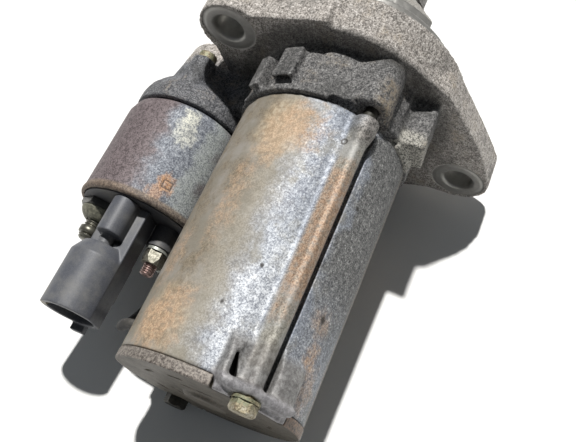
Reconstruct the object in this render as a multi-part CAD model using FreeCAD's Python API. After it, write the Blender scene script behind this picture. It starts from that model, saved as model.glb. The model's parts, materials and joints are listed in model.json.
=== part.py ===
import FreeCAD, Part

import math
import os

# Permanent-magnet starter motor with planetary reduction, in millimetres.
# X is the motor axis, towards the pinion. The origin is on that axis at the
# mounting face of the flange. Y points to the solenoid side and Z is up.

# ---------------------------------------------------------------- driving sizes
YOKE_R = 35.0                 # outer radius of the motor tube
YOKE_WALL = 3.5
YOKE_REAR = -146.0
YOKE_FRONT = -40.2
FLANGE_THICK = 16.0
NECK_REAR = -40.0
NECK_R = 36.5
PILOT_R = 41.0                # register that centres the starter in the bell housing
PILOT_LENGTH = 9.0
NOSE_END = 58.0
HOLE_LINE_DEG = 30.2          # slope of the line through the two mounting holes
HOLE_SOLENOID_SIDE = 56.6     # distance of each mounting hole from the motor axis
HOLE_FAR_SIDE = 63.7
MOUNT_HOLE_R = 6.25           # clearance for an M12 screw
SOLENOID_DISTANCE = 66.0      # between the motor axis and the solenoid axis
SOLENOID_DEG = -15.5          # direction of the solenoid, measured from Y towards Z
SOLENOID_R = 28.0
CAN_REAR = -91.0
CAN_FRONT = -42.5
BOLT_CIRCLE_R = 36.2          # the two long bolts lie half outside the yoke, under ridges
BOLT_R = 2.5
BOLT_DEG = 122.0
TRAVEL = 12.0                 # plunger travel, and clutch travel
LEVER_ARM = SOLENOID_DISTANCE / 2
PIVOT_X = -16.0
CONTACT_TRAVEL = 3.0
GEAR_MODULE = 1.0
SUN_TEETH = 12
PLANET_TEETH = 18
RING_TEETH = 48
PINION_TEETH = 10
PINION_MODULE = 2.5

FIT = 0.05                    # radial clearance of a running or push fit
GAP = 0.3                     # space left between bodies that pass each other

# ---------------------------------------------------------------- derived places
YOKE_BORE = YOKE_R - YOKE_WALL
INNER_R = YOKE_BORE - 0.2     # outer radius of what is pushed into the yoke
SOL_Y = SOLENOID_DISTANCE * math.cos(math.radians(SOLENOID_DEG))
SOL_Z = SOLENOID_DISTANCE * math.sin(math.radians(SOLENOID_DEG))
HOLE_DEGS = (HOLE_LINE_DEG, HOLE_LINE_DEG + 180.0)
HOLE_DISTANCES = (HOLE_SOLENOID_SIDE, HOLE_FAR_SIDE)
BOLT_DEGS = (BOLT_DEG, BOLT_DEG + 180.0)
GEAR_CENTRE = GEAR_MODULE * (SUN_TEETH + PLANET_TEETH) / 2
LEVER_REST_DEG = math.degrees(math.asin(TRAVEL / 2 / LEVER_ARM))

V = FreeCAD.Vector
X_AXIS = V(1, 0, 0)
NODES = {}


# ---------------------------------------------------------------- shape helpers
def cyl(r, x0, x1, y=0.0, z=0.0):
    """Cylinder along X between two stations."""
    return Part.makeCylinder(r, x1 - x0, V(x0, y, z), X_AXIS)


def tube(r_out, r_in, x0, x1, y=0.0, z=0.0):
    """Hollow cylinder along X."""
    return cyl(r_out, x0, x1, y, z).cut(cyl(r_in, x0 - 1, x1 + 1, y, z))


def cone(r0, r1, x0, x1, y=0.0, z=0.0):
    """Cone along X, of radius r0 at x0 and r1 at x1."""
    return Part.makeCone(r0, r1, x1 - x0, V(x0, y, z), X_AXIS)


def box(x0, x1, y0, y1, z0, z1):
    """Box between two corners."""
    return Part.makeBox(x1 - x0, y1 - y0, z1 - z0, V(x0, y0, z0))


def turned(shape, degrees, y=0.0, z=0.0):
    """Copy turned about a line along X through (y, z)."""
    copy = shape.copy()
    copy.rotate(V(0, y, z), X_AXIS, degrees)
    return copy


def moved(shape, x=0.0, y=0.0, z=0.0):
    """Copy shifted by (x, y, z)."""
    copy = shape.copy()
    copy.translate(V(x, y, z))
    return copy


def fused(*shapes):
    """One solid made of all the shapes."""
    return shapes[0].multiFuse(list(shapes[1:])).removeSplitter()


def cut(shape, *tools):
    """The shape without the tools."""
    for tool in tools:
        shape = shape.cut(tool)
    return shape


def polar(r, degrees, x=0.0):
    """Point at a radius and an angle round the motor axis."""
    a = math.radians(degrees)
    return V(x, r * math.cos(a), r * math.sin(a))


def sector(r0, r1, deg0, deg1, x0, x1):
    """Piece of a ring between two angles, extruded along X."""
    mid = (deg0 + deg1) / 2
    outer = Part.Arc(polar(r1, deg0, x0), polar(r1, mid, x0), polar(r1, deg1, x0)).toShape()
    inner = Part.Arc(polar(r0, deg1, x0), polar(r0, mid, x0), polar(r0, deg0, x0)).toShape()
    side1 = Part.makeLine(polar(r1, deg1, x0), polar(r0, deg1, x0))
    side0 = Part.makeLine(polar(r0, deg0, x0), polar(r1, deg0, x0))
    face = Part.Face(Part.Wire([outer, side1, inner, side0]))
    return face.extrude(V(x1 - x0, 0, 0))


def plate(points, x0, x1):
    """Polygon of (y, z) points extruded along X."""
    ring = [V(x0, y, z) for y, z in points]
    face = Part.Face(Part.makePolygon(ring + ring[:1]))
    return face.extrude(V(x1 - x0, 0, 0))


def lofted(points0, points1, x0, x1):
    """Solid between two polygons of (y, z) points, one at each station."""
    wires = []
    for points, x in ((points0, x0), (points1, x1)):
        ring = [V(x, y, z) for y, z in points]
        wires.append(Part.makePolygon(ring + ring[:1]))
    return Part.makeLoft(wires, True, True)


def hexagon(across_flats, x0, x1, y=0.0, z=0.0, start_deg=0.0):
    """Hexagonal prism along X."""
    r = across_flats / math.sqrt(3)
    angles = [math.radians(start_deg + 60 * i) for i in range(6)]
    return plate([(y + r * math.cos(a), z + r * math.sin(a)) for a in angles], x0, x1)


def profile_turned(points, y=0.0, z=0.0):
    """Solid of revolution about a line along X, from (x, r) points."""
    ring = [V(x, y + r, z) for x, r in points]
    face = Part.Face(Part.makePolygon(ring + ring[:1]))
    return face.revolve(V(0, y, z), X_AXIS, 360)


def bar_between(start, end, r):
    """Round bar from one point to another."""
    return Part.makeCylinder(r, start.distanceToPoint(end), start, end - start)


def in_lever_plane(shape):
    """Turn a shape drawn with the solenoid straight along Y to its real direction."""
    return turned(shape, SOLENOID_DEG)


# ---------------------------------------------------------------- gear outlines
def involute_outline(module, teeth, addendum, dedendum, tooth_play, x, phase_deg=0.0):
    """Closed outline of an involute gear, with a tooth centred on phase_deg."""
    pitch_r = module * teeth / 2
    base_r = pitch_r * math.cos(math.radians(20))
    tip_r = pitch_r + addendum
    root_r = pitch_r - dedendum
    roll = math.tan(math.radians(20)) - math.radians(20)
    half = (math.pi * module / 2 - tooth_play) / (2 * pitch_r)
    start_r = max(root_r, base_r)
    steps = 3
    flank = []
    for i in range(steps + 1):
        r = start_r + (tip_r - start_r) * i / steps
        pressure = math.acos(min(1.0, base_r / r))
        flank.append((r, half + roll - (math.tan(pressure) - pressure)))
    if root_r < base_r:
        flank.insert(0, (root_r, flank[0][1]))
    points = []
    for tooth in range(teeth):
        centre = math.radians(phase_deg) + 2 * math.pi * tooth / teeth
        side = [(r, centre - a) for r, a in flank] + [(r, centre + a) for r, a in reversed(flank)]
        points += [V(x, r * math.cos(a), r * math.sin(a)) for r, a in side]
    return Part.Face(Part.makePolygon(points + points[:1]))


def gear(module, teeth, x0, x1, addendum=0.85, dedendum=1.1, tooth_play=0.1, phase_deg=0.0):
    """Spur gear solid along X; the addendum and dedendum are in modules."""
    outline = involute_outline(module, teeth, addendum * module, dedendum * module,
                               tooth_play, x0, phase_deg)
    return outline.extrude(V(x1 - x0, 0, 0))


def coil_spring(mean_r, wire_r, length, turns, start, axis):
    """Open compression spring from a start point along an axis, of twelve-sided wire."""
    helix = Part.makeHelix(length / turns, length, mean_r)
    wire = Part.Wire(helix.Edges)
    angles = [math.radians(30 * i) for i in range(12)]
    ring = [V(mean_r + wire_r * math.cos(a), 0, wire_r * math.sin(a)) for a in angles]
    section = Part.makePolygon(ring + ring[:1])
    spring = wire.makePipeShell([section], True, True)
    spring.Placement = FreeCAD.Placement(start, FreeCAD.Rotation(V(0, 0, 1), axis))
    return spring


# ---------------------------------------------------------------- drive housing
CUP_MOUTH_R = 27.0
CUP_STEP_R = 19.8             # outer radius where the cup's shoulder ends
CUP_FRONT_R = 17.0
CUP_BORE_R = 15.0
CUP_FRONT = -2.3
PLUNGER_ROOM_FRONT = -4.6
WEB_REAR, WEB_FRONT = -38.0, -34.0
CLUTCH_BORE_R = 30.0
SCREW_CIRCLE_R = 21.5         # the solenoid's fixing screws round its axis
SCREW_DEGS = (90.0, 210.0, 330.0)
SCREW_SEAT = -18.0
SHAFT_BUSH_R = 9.5
NOSE_BUSH_R = 8.5
HOLE_CHAMFER = 1.0
FLAT_RIB_DEG = 64.3
THIN_RIB_DEG = 44.5
BOSS_REAR = -36.6             # face of the bolt bosses towards the yoke
BOSS_R = 7.8
# section of the ramp beside each bolt boss: (radius, degrees from the bolt)
BOSS_RAMP = ((30.0, -18.0), (36.4, -18.0), (42.6, -5.0), (43.0, 0.0), (30.0, 0.0))


def hole_line(u, v):
    """(y, z) of a point given along and across the line of the mounting holes."""
    a = math.radians(HOLE_LINE_DEG)
    return (u * math.cos(a) - v * math.sin(a), u * math.sin(a) + v * math.cos(a))


def flange_solid():
    """Mounting flange: a conical disc with two ears."""
    rear = -FLANGE_THICK
    disc = cone(44.5, 48.5, rear, 0)
    near = hole_line(54.0, -1.0)
    near_ear = cyl(15.5, rear, 0, *near)
    near_web = [(53, 14.5), (30, 38), (10, 30), (10, -30), (34, -40), (57, -16)]
    far_ear = cyl(13.6, rear, 0, *hole_line(-HOLE_FAR_SIDE, 0))
    far_low = [(-76.8, -2), (-73.5, -9.8), (-58, -20), (-51, -30), (-28, -37), (-10, 0)]
    far_rear = [(-5, 45), (-26, 42.5), (-40, 34.6), (-52, 27.6), (-61, 21.2), (-69, 13.8),
                (-74.5, 8)] + far_low
    far_front = [(-5, 45), (-26, 40.5), (-37, 33.4), (-47, 27.3), (-56, 21.6), (-64, 16.4),
                 (-73, 10.2)] + far_low
    near_plate = plate([hole_line(u, v) for u, v in near_web], rear, 0)
    far_plate = lofted([hole_line(u, v) for u, v in far_rear],
                       [hole_line(u, v) for u, v in far_front], rear, 0)
    return fused(disc, near_ear, far_ear, near_plate, far_plate)


def mounting_hole_tools():
    """Through holes with a chamfered rear mouth and a ring cut round it by the spot facing."""
    tools = []
    for degrees, distance in zip(HOLE_DEGS, HOLE_DISTANCES):
        c = polar(distance, degrees)
        r = MOUNT_HOLE_R
        tools.append(cyl(r, -FLANGE_THICK - 1, 1, c.y, c.z))
        tools.append(cone(r + HOLE_CHAMFER, r, -FLANGE_THICK, HOLE_CHAMFER - FLANGE_THICK, c.y, c.z))
        tools.append(tube(12.0, 10.6, -FLANGE_THICK - 1, 0.5 - FLANGE_THICK, c.y, c.z))
    return tools


def neck_ribs():
    """Cast pads on the neck: a flat-topped one with a hollow end, a thin one, a lug and a rim."""
    flat = box(-35.8, -21.5, 34, 39.8, -4.7, 4.7)
    hollow = box(-38, -31.6, NECK_R - 0.4, 38.8, -3.6, 3.6)
    flat = turned(flat.cut(hollow), FLAT_RIB_DEG)
    thin = turned(box(-38.5, -24, 34, 40.4, -2.6, 2.6), THIN_RIB_DEG)
    lug = box(-38, -15, -41, -28, 4, 19)
    gusset = plate([(-30, 8), (-26, 20), (-30, 23)], -28, -15)
    rim = sector(34, NECK_R + 0.8, 28, BOLT_DEG - 26, NECK_REAR, NECK_REAR + 1.5)
    return [flat, thin, lug, gusset, rim]


def solenoid_cup():
    """Domed cup that carries the solenoid, with three screw bosses."""
    dome = profile_turned([(CAN_FRONT, 0), (CAN_FRONT, CUP_MOUTH_R), (-36.5, CUP_MOUTH_R),
                           (-33.0, 26.0), (-28.7, 23.1), (-24.8, CUP_STEP_R),
                           (CUP_FRONT - 1.2, CUP_FRONT_R), (CUP_FRONT, CUP_FRONT_R - 1.2),
                           (CUP_FRONT, 0)], SOL_Y, SOL_Z)
    bosses = []
    for degrees in SCREW_DEGS:
        c = polar(SCREW_CIRCLE_R, degrees)
        bosses.append(cyl(5.5, CAN_FRONT, SCREW_SEAT, SOL_Y + c.y, SOL_Z + c.z))
    bridge = in_lever_plane(box(-34, CUP_FRONT, 28, 58, -12, 12))
    return [dome, bridge] + bosses


def bolt_bosses():
    """Round bosses at the neck that the long bolts are screwed into, each with a ramp."""
    bosses = []
    for degrees in BOLT_DEGS:
        c = polar(BOLT_CIRCLE_R - 1.0, degrees)
        bosses.append(cyl(BOSS_R, BOSS_REAR, -FLANGE_THICK, c.y, c.z))
        corners = [polar(r, degrees + d) for r, d in BOSS_RAMP]
        bosses.append(plate([(p.y, p.z) for p in corners], BOSS_REAR, -FLANGE_THICK))
    return bosses


def nose_solid():
    """Pilot and nose cone round the pinion."""
    pilot = cyl(PILOT_R, 0, PILOT_LENGTH)
    shoulder = cyl(PILOT_R - 4, PILOT_LENGTH, 16)
    taper = cone(PILOT_R - 4, 17, 16, 42)
    hub = cyl(16, 42, NOSE_END - 1.5)
    tip = cone(16, 14.5, NOSE_END - 1.5, NOSE_END)
    return [pilot, shoulder, taper, hub, tip]


def drive_housing():
    outer = fused(cyl(NECK_R, NECK_REAR, 0), flange_solid(), *nose_solid(), *neck_ribs(),
                  *solenoid_cup(), *bolt_bosses())
    spigot = tube(INNER_R, INNER_R - 2.3, NECK_REAR - 2.5, NECK_REAR + 1)
    clutch_room = cyl(CLUTCH_BORE_R, WEB_FRONT, 18)
    nose_room = cone(CLUTCH_BORE_R, 15, 18, 38)
    nose_recess = cyl(12, 37, 41.5)
    gear_room = cyl(INNER_R - 2.3, NECK_REAR - 3, WEB_REAR)
    plunger_room = cyl(CUP_BORE_R, CAN_FRONT - 1, PLUNGER_ROOM_FRONT, SOL_Y, SOL_Z)
    lever_room = in_lever_plane(box(-32, PLUNGER_ROOM_FRONT, 0, SOLENOID_DISTANCE, -8, 8))
    pivot_hole = in_lever_plane(Part.makeCylinder(2.5, 21, V(PIVOT_X, LEVER_ARM, -10.5), V(0, 0, 1)))
    window = in_lever_plane(box(12, 40, -45, -12, -17, 17))
    bolt_holes = [cyl(BOLT_R + FIT, NECK_REAR - 3, -22, polar(BOLT_CIRCLE_R, d).y,
                      polar(BOLT_CIRCLE_R, d).z) for d in BOLT_DEGS]
    screw_holes = []
    for degrees in SCREW_DEGS:
        c = polar(SCREW_CIRCLE_R, degrees)
        screw_holes.append(cyl(2.6, CAN_FRONT - 1, SCREW_SEAT, SOL_Y + c.y, SOL_Z + c.z))
        screw_holes.append(cyl(5.0, SCREW_SEAT, -10, SOL_Y + c.y, SOL_Z + c.z))
    step = sector(33.2, 38.5, BOLT_DEG - 26, BOLT_DEG + 28, NECK_REAR - 1, NECK_REAR + 2.4)
    step_far = turned(step, 180)
    rib_pocket = sector(33.4, 42, THIN_RIB_DEG + 4.1, FLAT_RIB_DEG - 7.4, -37.5, -19)
    body = cut(outer, clutch_room, nose_room, nose_recess, gear_room, plunger_room, lever_room,
               pivot_hole, window, step, step_far, rib_pocket, *mounting_hole_tools(), *bolt_holes,
               *screw_holes)
    hub = cyl(13, WEB_REAR, -30.5)
    shaft_hole = cyl(SHAFT_BUSH_R + 0.02, WEB_REAR - 1, -30)
    nose_hole = cyl(NOSE_BUSH_R + 0.02, 41, 55)
    spigot = spigot.cut(sector(20, 34, 112, 132, NECK_REAR - 3, NECK_REAR))
    return cut(fused(body, hub, spigot), shaft_hole, nose_hole)


def housing_group():
    NODES["drive_housing"] = drive_housing()
    NODES["shaft_bush"] = tube(SHAFT_BUSH_R, 7.0 + FIT, WEB_REAR, -30.5)
    NODES["nose_bush"] = tube(NOSE_BUSH_R, 5.5 + FIT, 42.5, 54)
    NODES["lever_pivot"] = in_lever_plane(
        Part.makeCylinder(2.46, 20.6, V(PIVOT_X, LEVER_ARM, -10.3), V(0, 0, 1)))
    screws = []
    for degrees in SCREW_DEGS:
        c = polar(SCREW_CIRCLE_R, degrees)
        y, z = SOL_Y + c.y, SOL_Z + c.z
        head = cut(cyl(4.2, SCREW_SEAT, SCREW_SEAT + 3.4), hexagon(4.0, SCREW_SEAT + 1.2, SCREW_SEAT + 4))
        shank = cyl(2.5, -47.5, SCREW_SEAT)
        screws.append(moved(fused(head, shank), 0, y, z))
    NODES["solenoid_screws"] = Part.makeCompound(screws)


# ---------------------------------------------------------------- yoke and rear cover
COVER_REAR = -150.0
COVER_R = 35.2
PAD_DEG = 126.5               # middle of the raised U-shaped end pad on the yoke
PAD_HALF_DEG = 23.5
PAD_HALF_WIDTH = 14.4
PAD_CORNER_R = 3.5
PAD_FRONT = -131.0
NARROW_ARM_DEG = PAD_DEG - 20.6
NARROW_ARM_R = 3.0
WIDE_ARM_DEG = PAD_DEG + 13.5
WIDE_ARM_R = 7.5
LIP_REAR, LIP_FRONT = -148.3, -144.6
RIDGE_R = 3.3                 # ridge of the yoke's sheet over each long bolt
NOSE_R = 4.9                  # and its wider front end
NOSE_FRONT = -41.2
BOLT_GAP_DEG = 9.8            # far side of the groove beside each ridge, from the bolt
GROOVE_DEPTH = 2.6
# section of the slope on the other side of each ridge: (radius, degrees from the bolt)
RIDGE_SLOPE = ((34.0, -10.0), (34.9, -10.0), (37.8, -4.5), (37.0, 0.0), (34.0, -4.0))
WASHER_R = 4.8
WASHER_THICK = 1.0
WASHER_SEAT = COVER_REAR + 1.5      # the washers lie in shallow recesses
BOLT_SEAT = WASHER_SEAT - 0.15 - WASHER_THICK
BOLT_HEAD_FLATS = 8.0
BOLT_HEAD_HEIGHT = 3.8


def end_pad():
    """Raised U-shaped pad at the rear of the yoke: two round arms joined by an unbroken lip."""
    base = YOKE_R - 2
    outline = box(LIP_REAR, PAD_FRONT + 1, base - 5, YOKE_R + 9, -PAD_HALF_WIDTH, PAD_HALF_WIDTH)
    corners = [e for e in outline.Edges
               if e.Length > 10 and e.BoundBox.XMax < LIP_REAR + 0.1 and e.BoundBox.ZLength < 0.1]
    outline = turned(outline.makeFillet(PAD_CORNER_R, corners), PAD_DEG)
    lo, hi = PAD_DEG - PAD_HALF_DEG, PAD_DEG + PAD_HALF_DEG
    floor = sector(base, YOKE_R + 1.4, lo, hi, LIP_REAR, PAD_FRONT + 1)
    narrow = polar(YOKE_R + 0.8, NARROW_ARM_DEG)
    narrow_arm = cyl(NARROW_ARM_R, LIP_REAR, PAD_FRONT, narrow.y, narrow.z)
    wide = polar(YOKE_R - 3.5, WIDE_ARM_DEG)
    wide_arm = cyl(WIDE_ARM_R, LIP_REAR, PAD_FRONT + 1, wide.y, wide.z)
    lip_ring = profile_turned([(LIP_REAR, base), (LIP_REAR, YOKE_R + 3.6), (LIP_REAR + 0.8, YOKE_R + 4.6),
                               (LIP_FRONT - 1.2, YOKE_R + 4.9), (LIP_FRONT - 0.2, YOKE_R + 4.2),
                               (LIP_FRONT, YOKE_R + 3.2), (LIP_FRONT, base)])
    lip = lip_ring.common(sector(base - 1, YOKE_R + 9, lo, hi, LIP_REAR - 1, LIP_FRONT + 1))
    pad = fused(floor, narrow_arm, wide_arm, lip).common(outline)
    ramp = profile_turned([(-138, YOKE_R + 4.1), (PAD_FRONT + 2, YOKE_R - 0.1),
                           (PAD_FRONT + 2, YOKE_R + 8), (-138, YOKE_R + 8)])
    foot = sector(base, YOKE_R + 1.2, lo + 1, hi - 1, COVER_REAR, LIP_FRONT)
    inside = cyl(base, LIP_REAR - 1, PAD_FRONT + 2)
    clear_r = COVER_R + 0.15
    sides = [sector(base - 1, clear_r, d, d + 6, LIP_REAR - 1, YOKE_REAR) for d in (lo - 6, hi)]
    return fused(cut(pad, ramp, inside, *sides), foot)


def pad_slot():
    """Pointed slot between the pad's narrow arm and the ridge."""
    floor = YOKE_R - GROOVE_DEPTH
    corners = [V(-132.8, floor, -1.9), V(LIP_FRONT, floor, -1.2), V(LIP_FRONT, floor, 1.9)]
    slot = Part.Face(Part.makePolygon(corners + corners[:1])).extrude(V(0, 12, 0))
    return turned(slot, PAD_DEG - 16.5)


def bolt_ridge(degrees):
    """Ridge over one long bolt, steep towards its groove and sloping on the other side."""
    c = polar(BOLT_CIRCLE_R, degrees)
    ridge = cyl(RIDGE_R, LIP_FRONT - 1, -46, c.y, c.z)
    nose = cone(RIDGE_R, NOSE_R, -52.5, -46, c.y, c.z).fuse(cyl(NOSE_R, -46, NOSE_FRONT, c.y, c.z))
    corners = [polar(r, degrees + d) for r, d in RIDGE_SLOPE]
    slope = plate([(p.y, p.z) for p in corners], LIP_FRONT - 1, NOSE_FRONT)
    return fused(ridge, nose, slope)


def yoke_tube():
    body = fused(cyl(YOKE_R, YOKE_REAR, YOKE_FRONT), end_pad(), turned(end_pad(), 180))
    body = cut(body, pad_slot(), turned(pad_slot(), 180))
    floor_r, over = YOKE_R - GROOVE_DEPTH, YOKE_R + 9
    for degrees in BOLT_DEGS:
        c = polar(BOLT_CIRCLE_R, degrees)
        body = body.cut(sector(floor_r, over, degrees, degrees + BOLT_GAP_DEG,
                               LIP_FRONT, YOKE_FRONT + 1))
        body = body.cut(cyl(NOSE_R, NOSE_FRONT, YOKE_FRONT + 1, c.y, c.z))
        body = body.cut(cyl(WASHER_R + 0.6, COVER_REAR - 1, WASHER_SEAT, c.y, c.z))
    body = fused(body, *[bolt_ridge(d) for d in BOLT_DEGS])
    tools = [cyl(YOKE_BORE, COVER_REAR - 1, YOKE_FRONT + 1)]
    for degrees in BOLT_DEGS:
        c = polar(BOLT_CIRCLE_R, degrees)
        tools.append(cyl(BOLT_R + 0.15, COVER_REAR - 1, YOKE_FRONT + 1, c.y, c.z))
    inner = polar(YOKE_R - 6, LEAD_DEG, LEAD_X)
    tools.append(Part.makeCylinder(4.6, 12, inner, polar(1, LEAD_DEG)))
    return cut(body, *tools)


def rear_cover():
    """Pressed end cover with a bearing hub, an inner spigot and small tab slots."""
    disc = cyl(COVER_R, COVER_REAR, YOKE_REAR - 0.1)
    hollow = tube(INNER_R - 1.6, 10.5, COVER_REAR + 2, YOKE_REAR + 5)
    spigot = tube(INNER_R, INNER_R - 1.6, YOKE_REAR - 1, -143.6)
    hub = cyl(10.5, COVER_REAR, -141.2)
    boss = cone(8.0, 9.2, COVER_REAR - 1.4, COVER_REAR)
    body = fused(disc.cut(hollow), spigot, hub, boss)
    tools = [cyl(7.5, COVER_REAR + 2, -140)]
    for degrees in (PAD_DEG, PAD_DEG + 180):
        half = PAD_HALF_DEG + 0.6
        tools.append(sector(YOKE_R - 2.3, 45, degrees - half, degrees + half,
                            COVER_REAR - 1, YOKE_REAR + 0.4))
        tools.append(sector(31.4, 45, degrees - half, degrees + half, YOKE_REAR - 0.2, -143))
    for degrees in BOLT_DEGS:
        c = polar(BOLT_CIRCLE_R, degrees)
        tools.append(cyl(WASHER_R + 0.6, COVER_REAR - 1, WASHER_SEAT, c.y, c.z))
    for degrees in (37, 73, 187, 223, 253, 330):
        tools.append(turned(box(COVER_REAR - 1, COVER_REAR + 0.9, 23, 24.6, -3, 3), degrees))
    for degrees in (86, 205, 325):
        tools.append(turned(box(COVER_REAR - 1, COVER_REAR + 0.9, 13.2, 14.4, -6, 6), degrees))
    return cut(body, *tools)


def through_bolts():
    """Two long hexagon bolts from the rear cover into the drive housing, with washers."""
    bolts = []
    washers = []
    rear = BOLT_SEAT - BOLT_HEAD_HEIGHT
    for degrees in BOLT_DEGS:
        c = polar(BOLT_CIRCLE_R, degrees)
        shank = cyl(BOLT_R, BOLT_SEAT - 0.1, -23, c.y, c.z)
        head = hexagon(BOLT_HEAD_FLATS, rear, BOLT_SEAT, c.y, c.z, degrees + 8)
        crown = cone(3.9, 5.2, rear, rear + 1.2, c.y, c.z).fuse(cyl(9, rear + 1.2, BOLT_SEAT, c.y, c.z))
        bolts.append(fused(shank, head.common(crown)))
        washers.append(tube(WASHER_R, BOLT_R + FIT, BOLT_SEAT + 0.05, WASHER_SEAT - 0.1, c.y, c.z))
    NODES["through_bolts"] = Part.makeCompound(bolts)
    NODES["bolt_washers"] = Part.makeCompound(washers)


# ---------------------------------------------------------------- motor lead
LEAD_DEG = -16.0              # where the lead enters the yoke
LEAD_X = -133.0
LEAD_R = 2.0
BATTERY_STUD = (16.2, 4.6)    # (y, z) from the solenoid axis
MOTOR_STUD = (-14.6, 3.0)
BATTERY_STUD_R = 4.0          # M8
MOTOR_STUD_R = 3.0            # M6
LUG_X0, LUG_X1 = -102.2, -100.8
LEAD_ROUTE = (V(-113.6, 49.0, -35.8), V(-126.2, 52.3, -35.3), V(-134.1, 52.7, -24.9))


def from_solenoid(place):
    """(y, z) of a place given from the solenoid axis."""
    return SOL_Y + place[0], SOL_Z + place[1]


def bent_tube(points, r):
    """Tube along straight runs joined by the largest tangent arcs that the runs allow."""
    edges = []
    here = points[0]
    for before, corner, after in zip(points, points[1:], points[2:]):
        back = (before - corner).normalize()
        ahead = (after - corner).normalize()
        run = min(before.distanceToPoint(corner), corner.distanceToPoint(after))
        reach = 0.45 * run
        half_turn = (math.pi - back.getAngle(ahead)) / 2
        bend_r = reach / math.tan(half_turn)
        print("lead bend radius %.1f" % bend_r)
        start = corner + back * reach
        end = corner + ahead * reach
        bisector = (back + ahead).normalize()
        centre = corner + bisector * math.hypot(bend_r, reach)
        middle = centre - bisector * bend_r
        edges.append(Part.makeLine(here, start))
        edges.append(Part.Arc(start, middle, end).toShape())
        here = end
    edges.append(Part.makeLine(here, points[-1]))
    path = Part.Wire(edges)
    section = Part.Wire(Part.makeCircle(r, points[0], points[1] - points[0]))
    solid = path.makePipeShell([section], True, False)
    print("lead volume ratio %.3f" % (solid.Volume / (math.pi * r * r * path.Length)))
    return solid


def motor_lead_group():
    """Flexible lead from the motor terminal round to the grommet in the yoke."""
    my, mz = from_solenoid(MOTOR_STUD)
    lug_ring = tube(5.2, MOTOR_STUD_R + FIT, LUG_X0, LUG_X1, my, mz)
    way = V(-0.67, 0.07, -0.74).normalize()
    barrel_start = V(LUG_X1 - 0.7, my - 1.2, mz - 8.0)
    ear = box(LUG_X0, LUG_X1, my - 4.2, my + 1.8, mz - 9.0, mz - 2.4)
    ear = ear.cut(cyl(MOTOR_STUD_R + 0.5, LUG_X0 - 1, LUG_X1 + 1, my, mz))
    start = barrel_start + way * 5.0
    NODES["lead_lug"] = fused(lug_ring, ear, bar_between(barrel_start - way * 2.0, start, LEAD_R + 0.8))
    entry = polar(YOKE_R, LEAD_DEG, LEAD_X)
    out = polar(1, LEAD_DEG)
    points = [start, *LEAD_ROUTE, entry + out * 13.6, entry + out * 1.8]
    NODES["motor_lead"] = bent_tube(points, LEAD_R)
    flange = Part.makeCylinder(6.2, 1.8, entry, out)
    sleeve = Part.makeCylinder(4.5, 5.5, entry - out * 5.2, out)
    grommet = cut(fused(flange, sleeve), Part.makeCylinder(1.8, 12, entry - out * 7, out))
    outside_yoke = fused(Part.makeCylinder(8, 4, entry - out * 0.2, out), sleeve)
    NODES["lead_grommet"] = grommet.common(outside_yoke).cut(yoke_wall_ring())


def yoke_wall_ring():
    """The yoke's wall round the grommet's sleeve."""
    entry = polar(YOKE_R, LEAD_DEG, LEAD_X)
    out = polar(1, LEAD_DEG)
    wall = tube(YOKE_R + 0.05, YOKE_BORE, LEAD_X - 12, LEAD_X + 12)
    return wall.cut(Part.makeCylinder(4.55, 20, entry - out * 10, out))


# ---------------------------------------------------------------- magnets and brush gear
MAGNET_INNER_R = 26.4
ARMATURE_R = 25.8
COMMUTATOR_R = 14.5
BRUSH_X0, BRUSH_X1 = -136.5, -127.5
BRUSH_HALF = 3.4
BRUSH_LENGTH = 9.0
BRUSH_DEGS = (45.0, 135.0, 225.0, 315.0)
HOLDER_OUTER = 28.6


def magnets_and_brushes():
    magnets = [sector(MAGNET_INNER_R, INNER_R, d - 25, d + 25, -119, -66)
               for d in range(30, 360, 60)]
    NODES["pole_magnets"] = Part.makeCompound(magnets)
    clips = [sector(27.6, INNER_R - 0.3, d - 3.2, d + 3.2, -117, -68).cut(
        sector(28.6, INNER_R - 1.2, d - 4, d + 4, -118, -67)) for d in range(0, 360, 60)]
    clips = [solid for clip in clips for solid in clip.Solids]
    NODES["magnet_clips"] = Part.makeCompound(clips)
    brush_plate = tube(INNER_R, 16.5, -143.4, -141.6)
    NODES["brush_plate"] = brush_plate
    holders = []
    springs = []
    for index, degrees in enumerate(BRUSH_DEGS):
        w = BRUSH_HALF + 0.15
        shell = box(-141.5, BRUSH_X1 + 1.2, COMMUTATOR_R + 2, HOLDER_OUTER, -w - 1, w + 1)
        room = box(BRUSH_X0 - 0.15, BRUSH_X1 + 0.15, 0, HOLDER_OUTER - 1, -w, w)
        holders.append(turned(shell.cut(room), degrees))
        face = COMMUTATOR_R + FIT
        brush = box(BRUSH_X0, BRUSH_X1, face - 1, face + BRUSH_LENGTH, -BRUSH_HALF, BRUSH_HALF)
        brush = brush.cut(cyl(face, BRUSH_X0 - 1, BRUSH_X1 + 1))
        NODES["brush_%d" % (index + 1)] = turned(brush, degrees)
        mid_x = (BRUSH_X0 + BRUSH_X1) / 2
        spring = coil_spring(2.4, 0.35, HOLDER_OUTER - 1 - face - BRUSH_LENGTH - 1.2, 3.5,
                             V(mid_x, face + BRUSH_LENGTH + 0.5, 0), V(0, 1, 0))
        springs.append(turned(spring, degrees))
    NODES["brush_holders"] = Part.makeCompound(holders)
    NODES["brush_springs"] = Part.makeCompound(springs)
    NODES["rear_bush"] = tube(7.48, 5.0 + FIT, COVER_REAR + 2, -141.2)


# ---------------------------------------------------------------- armature
SLOTS = 22
CORE_REAR, CORE_FRONT = -115.0, -70.0


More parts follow.
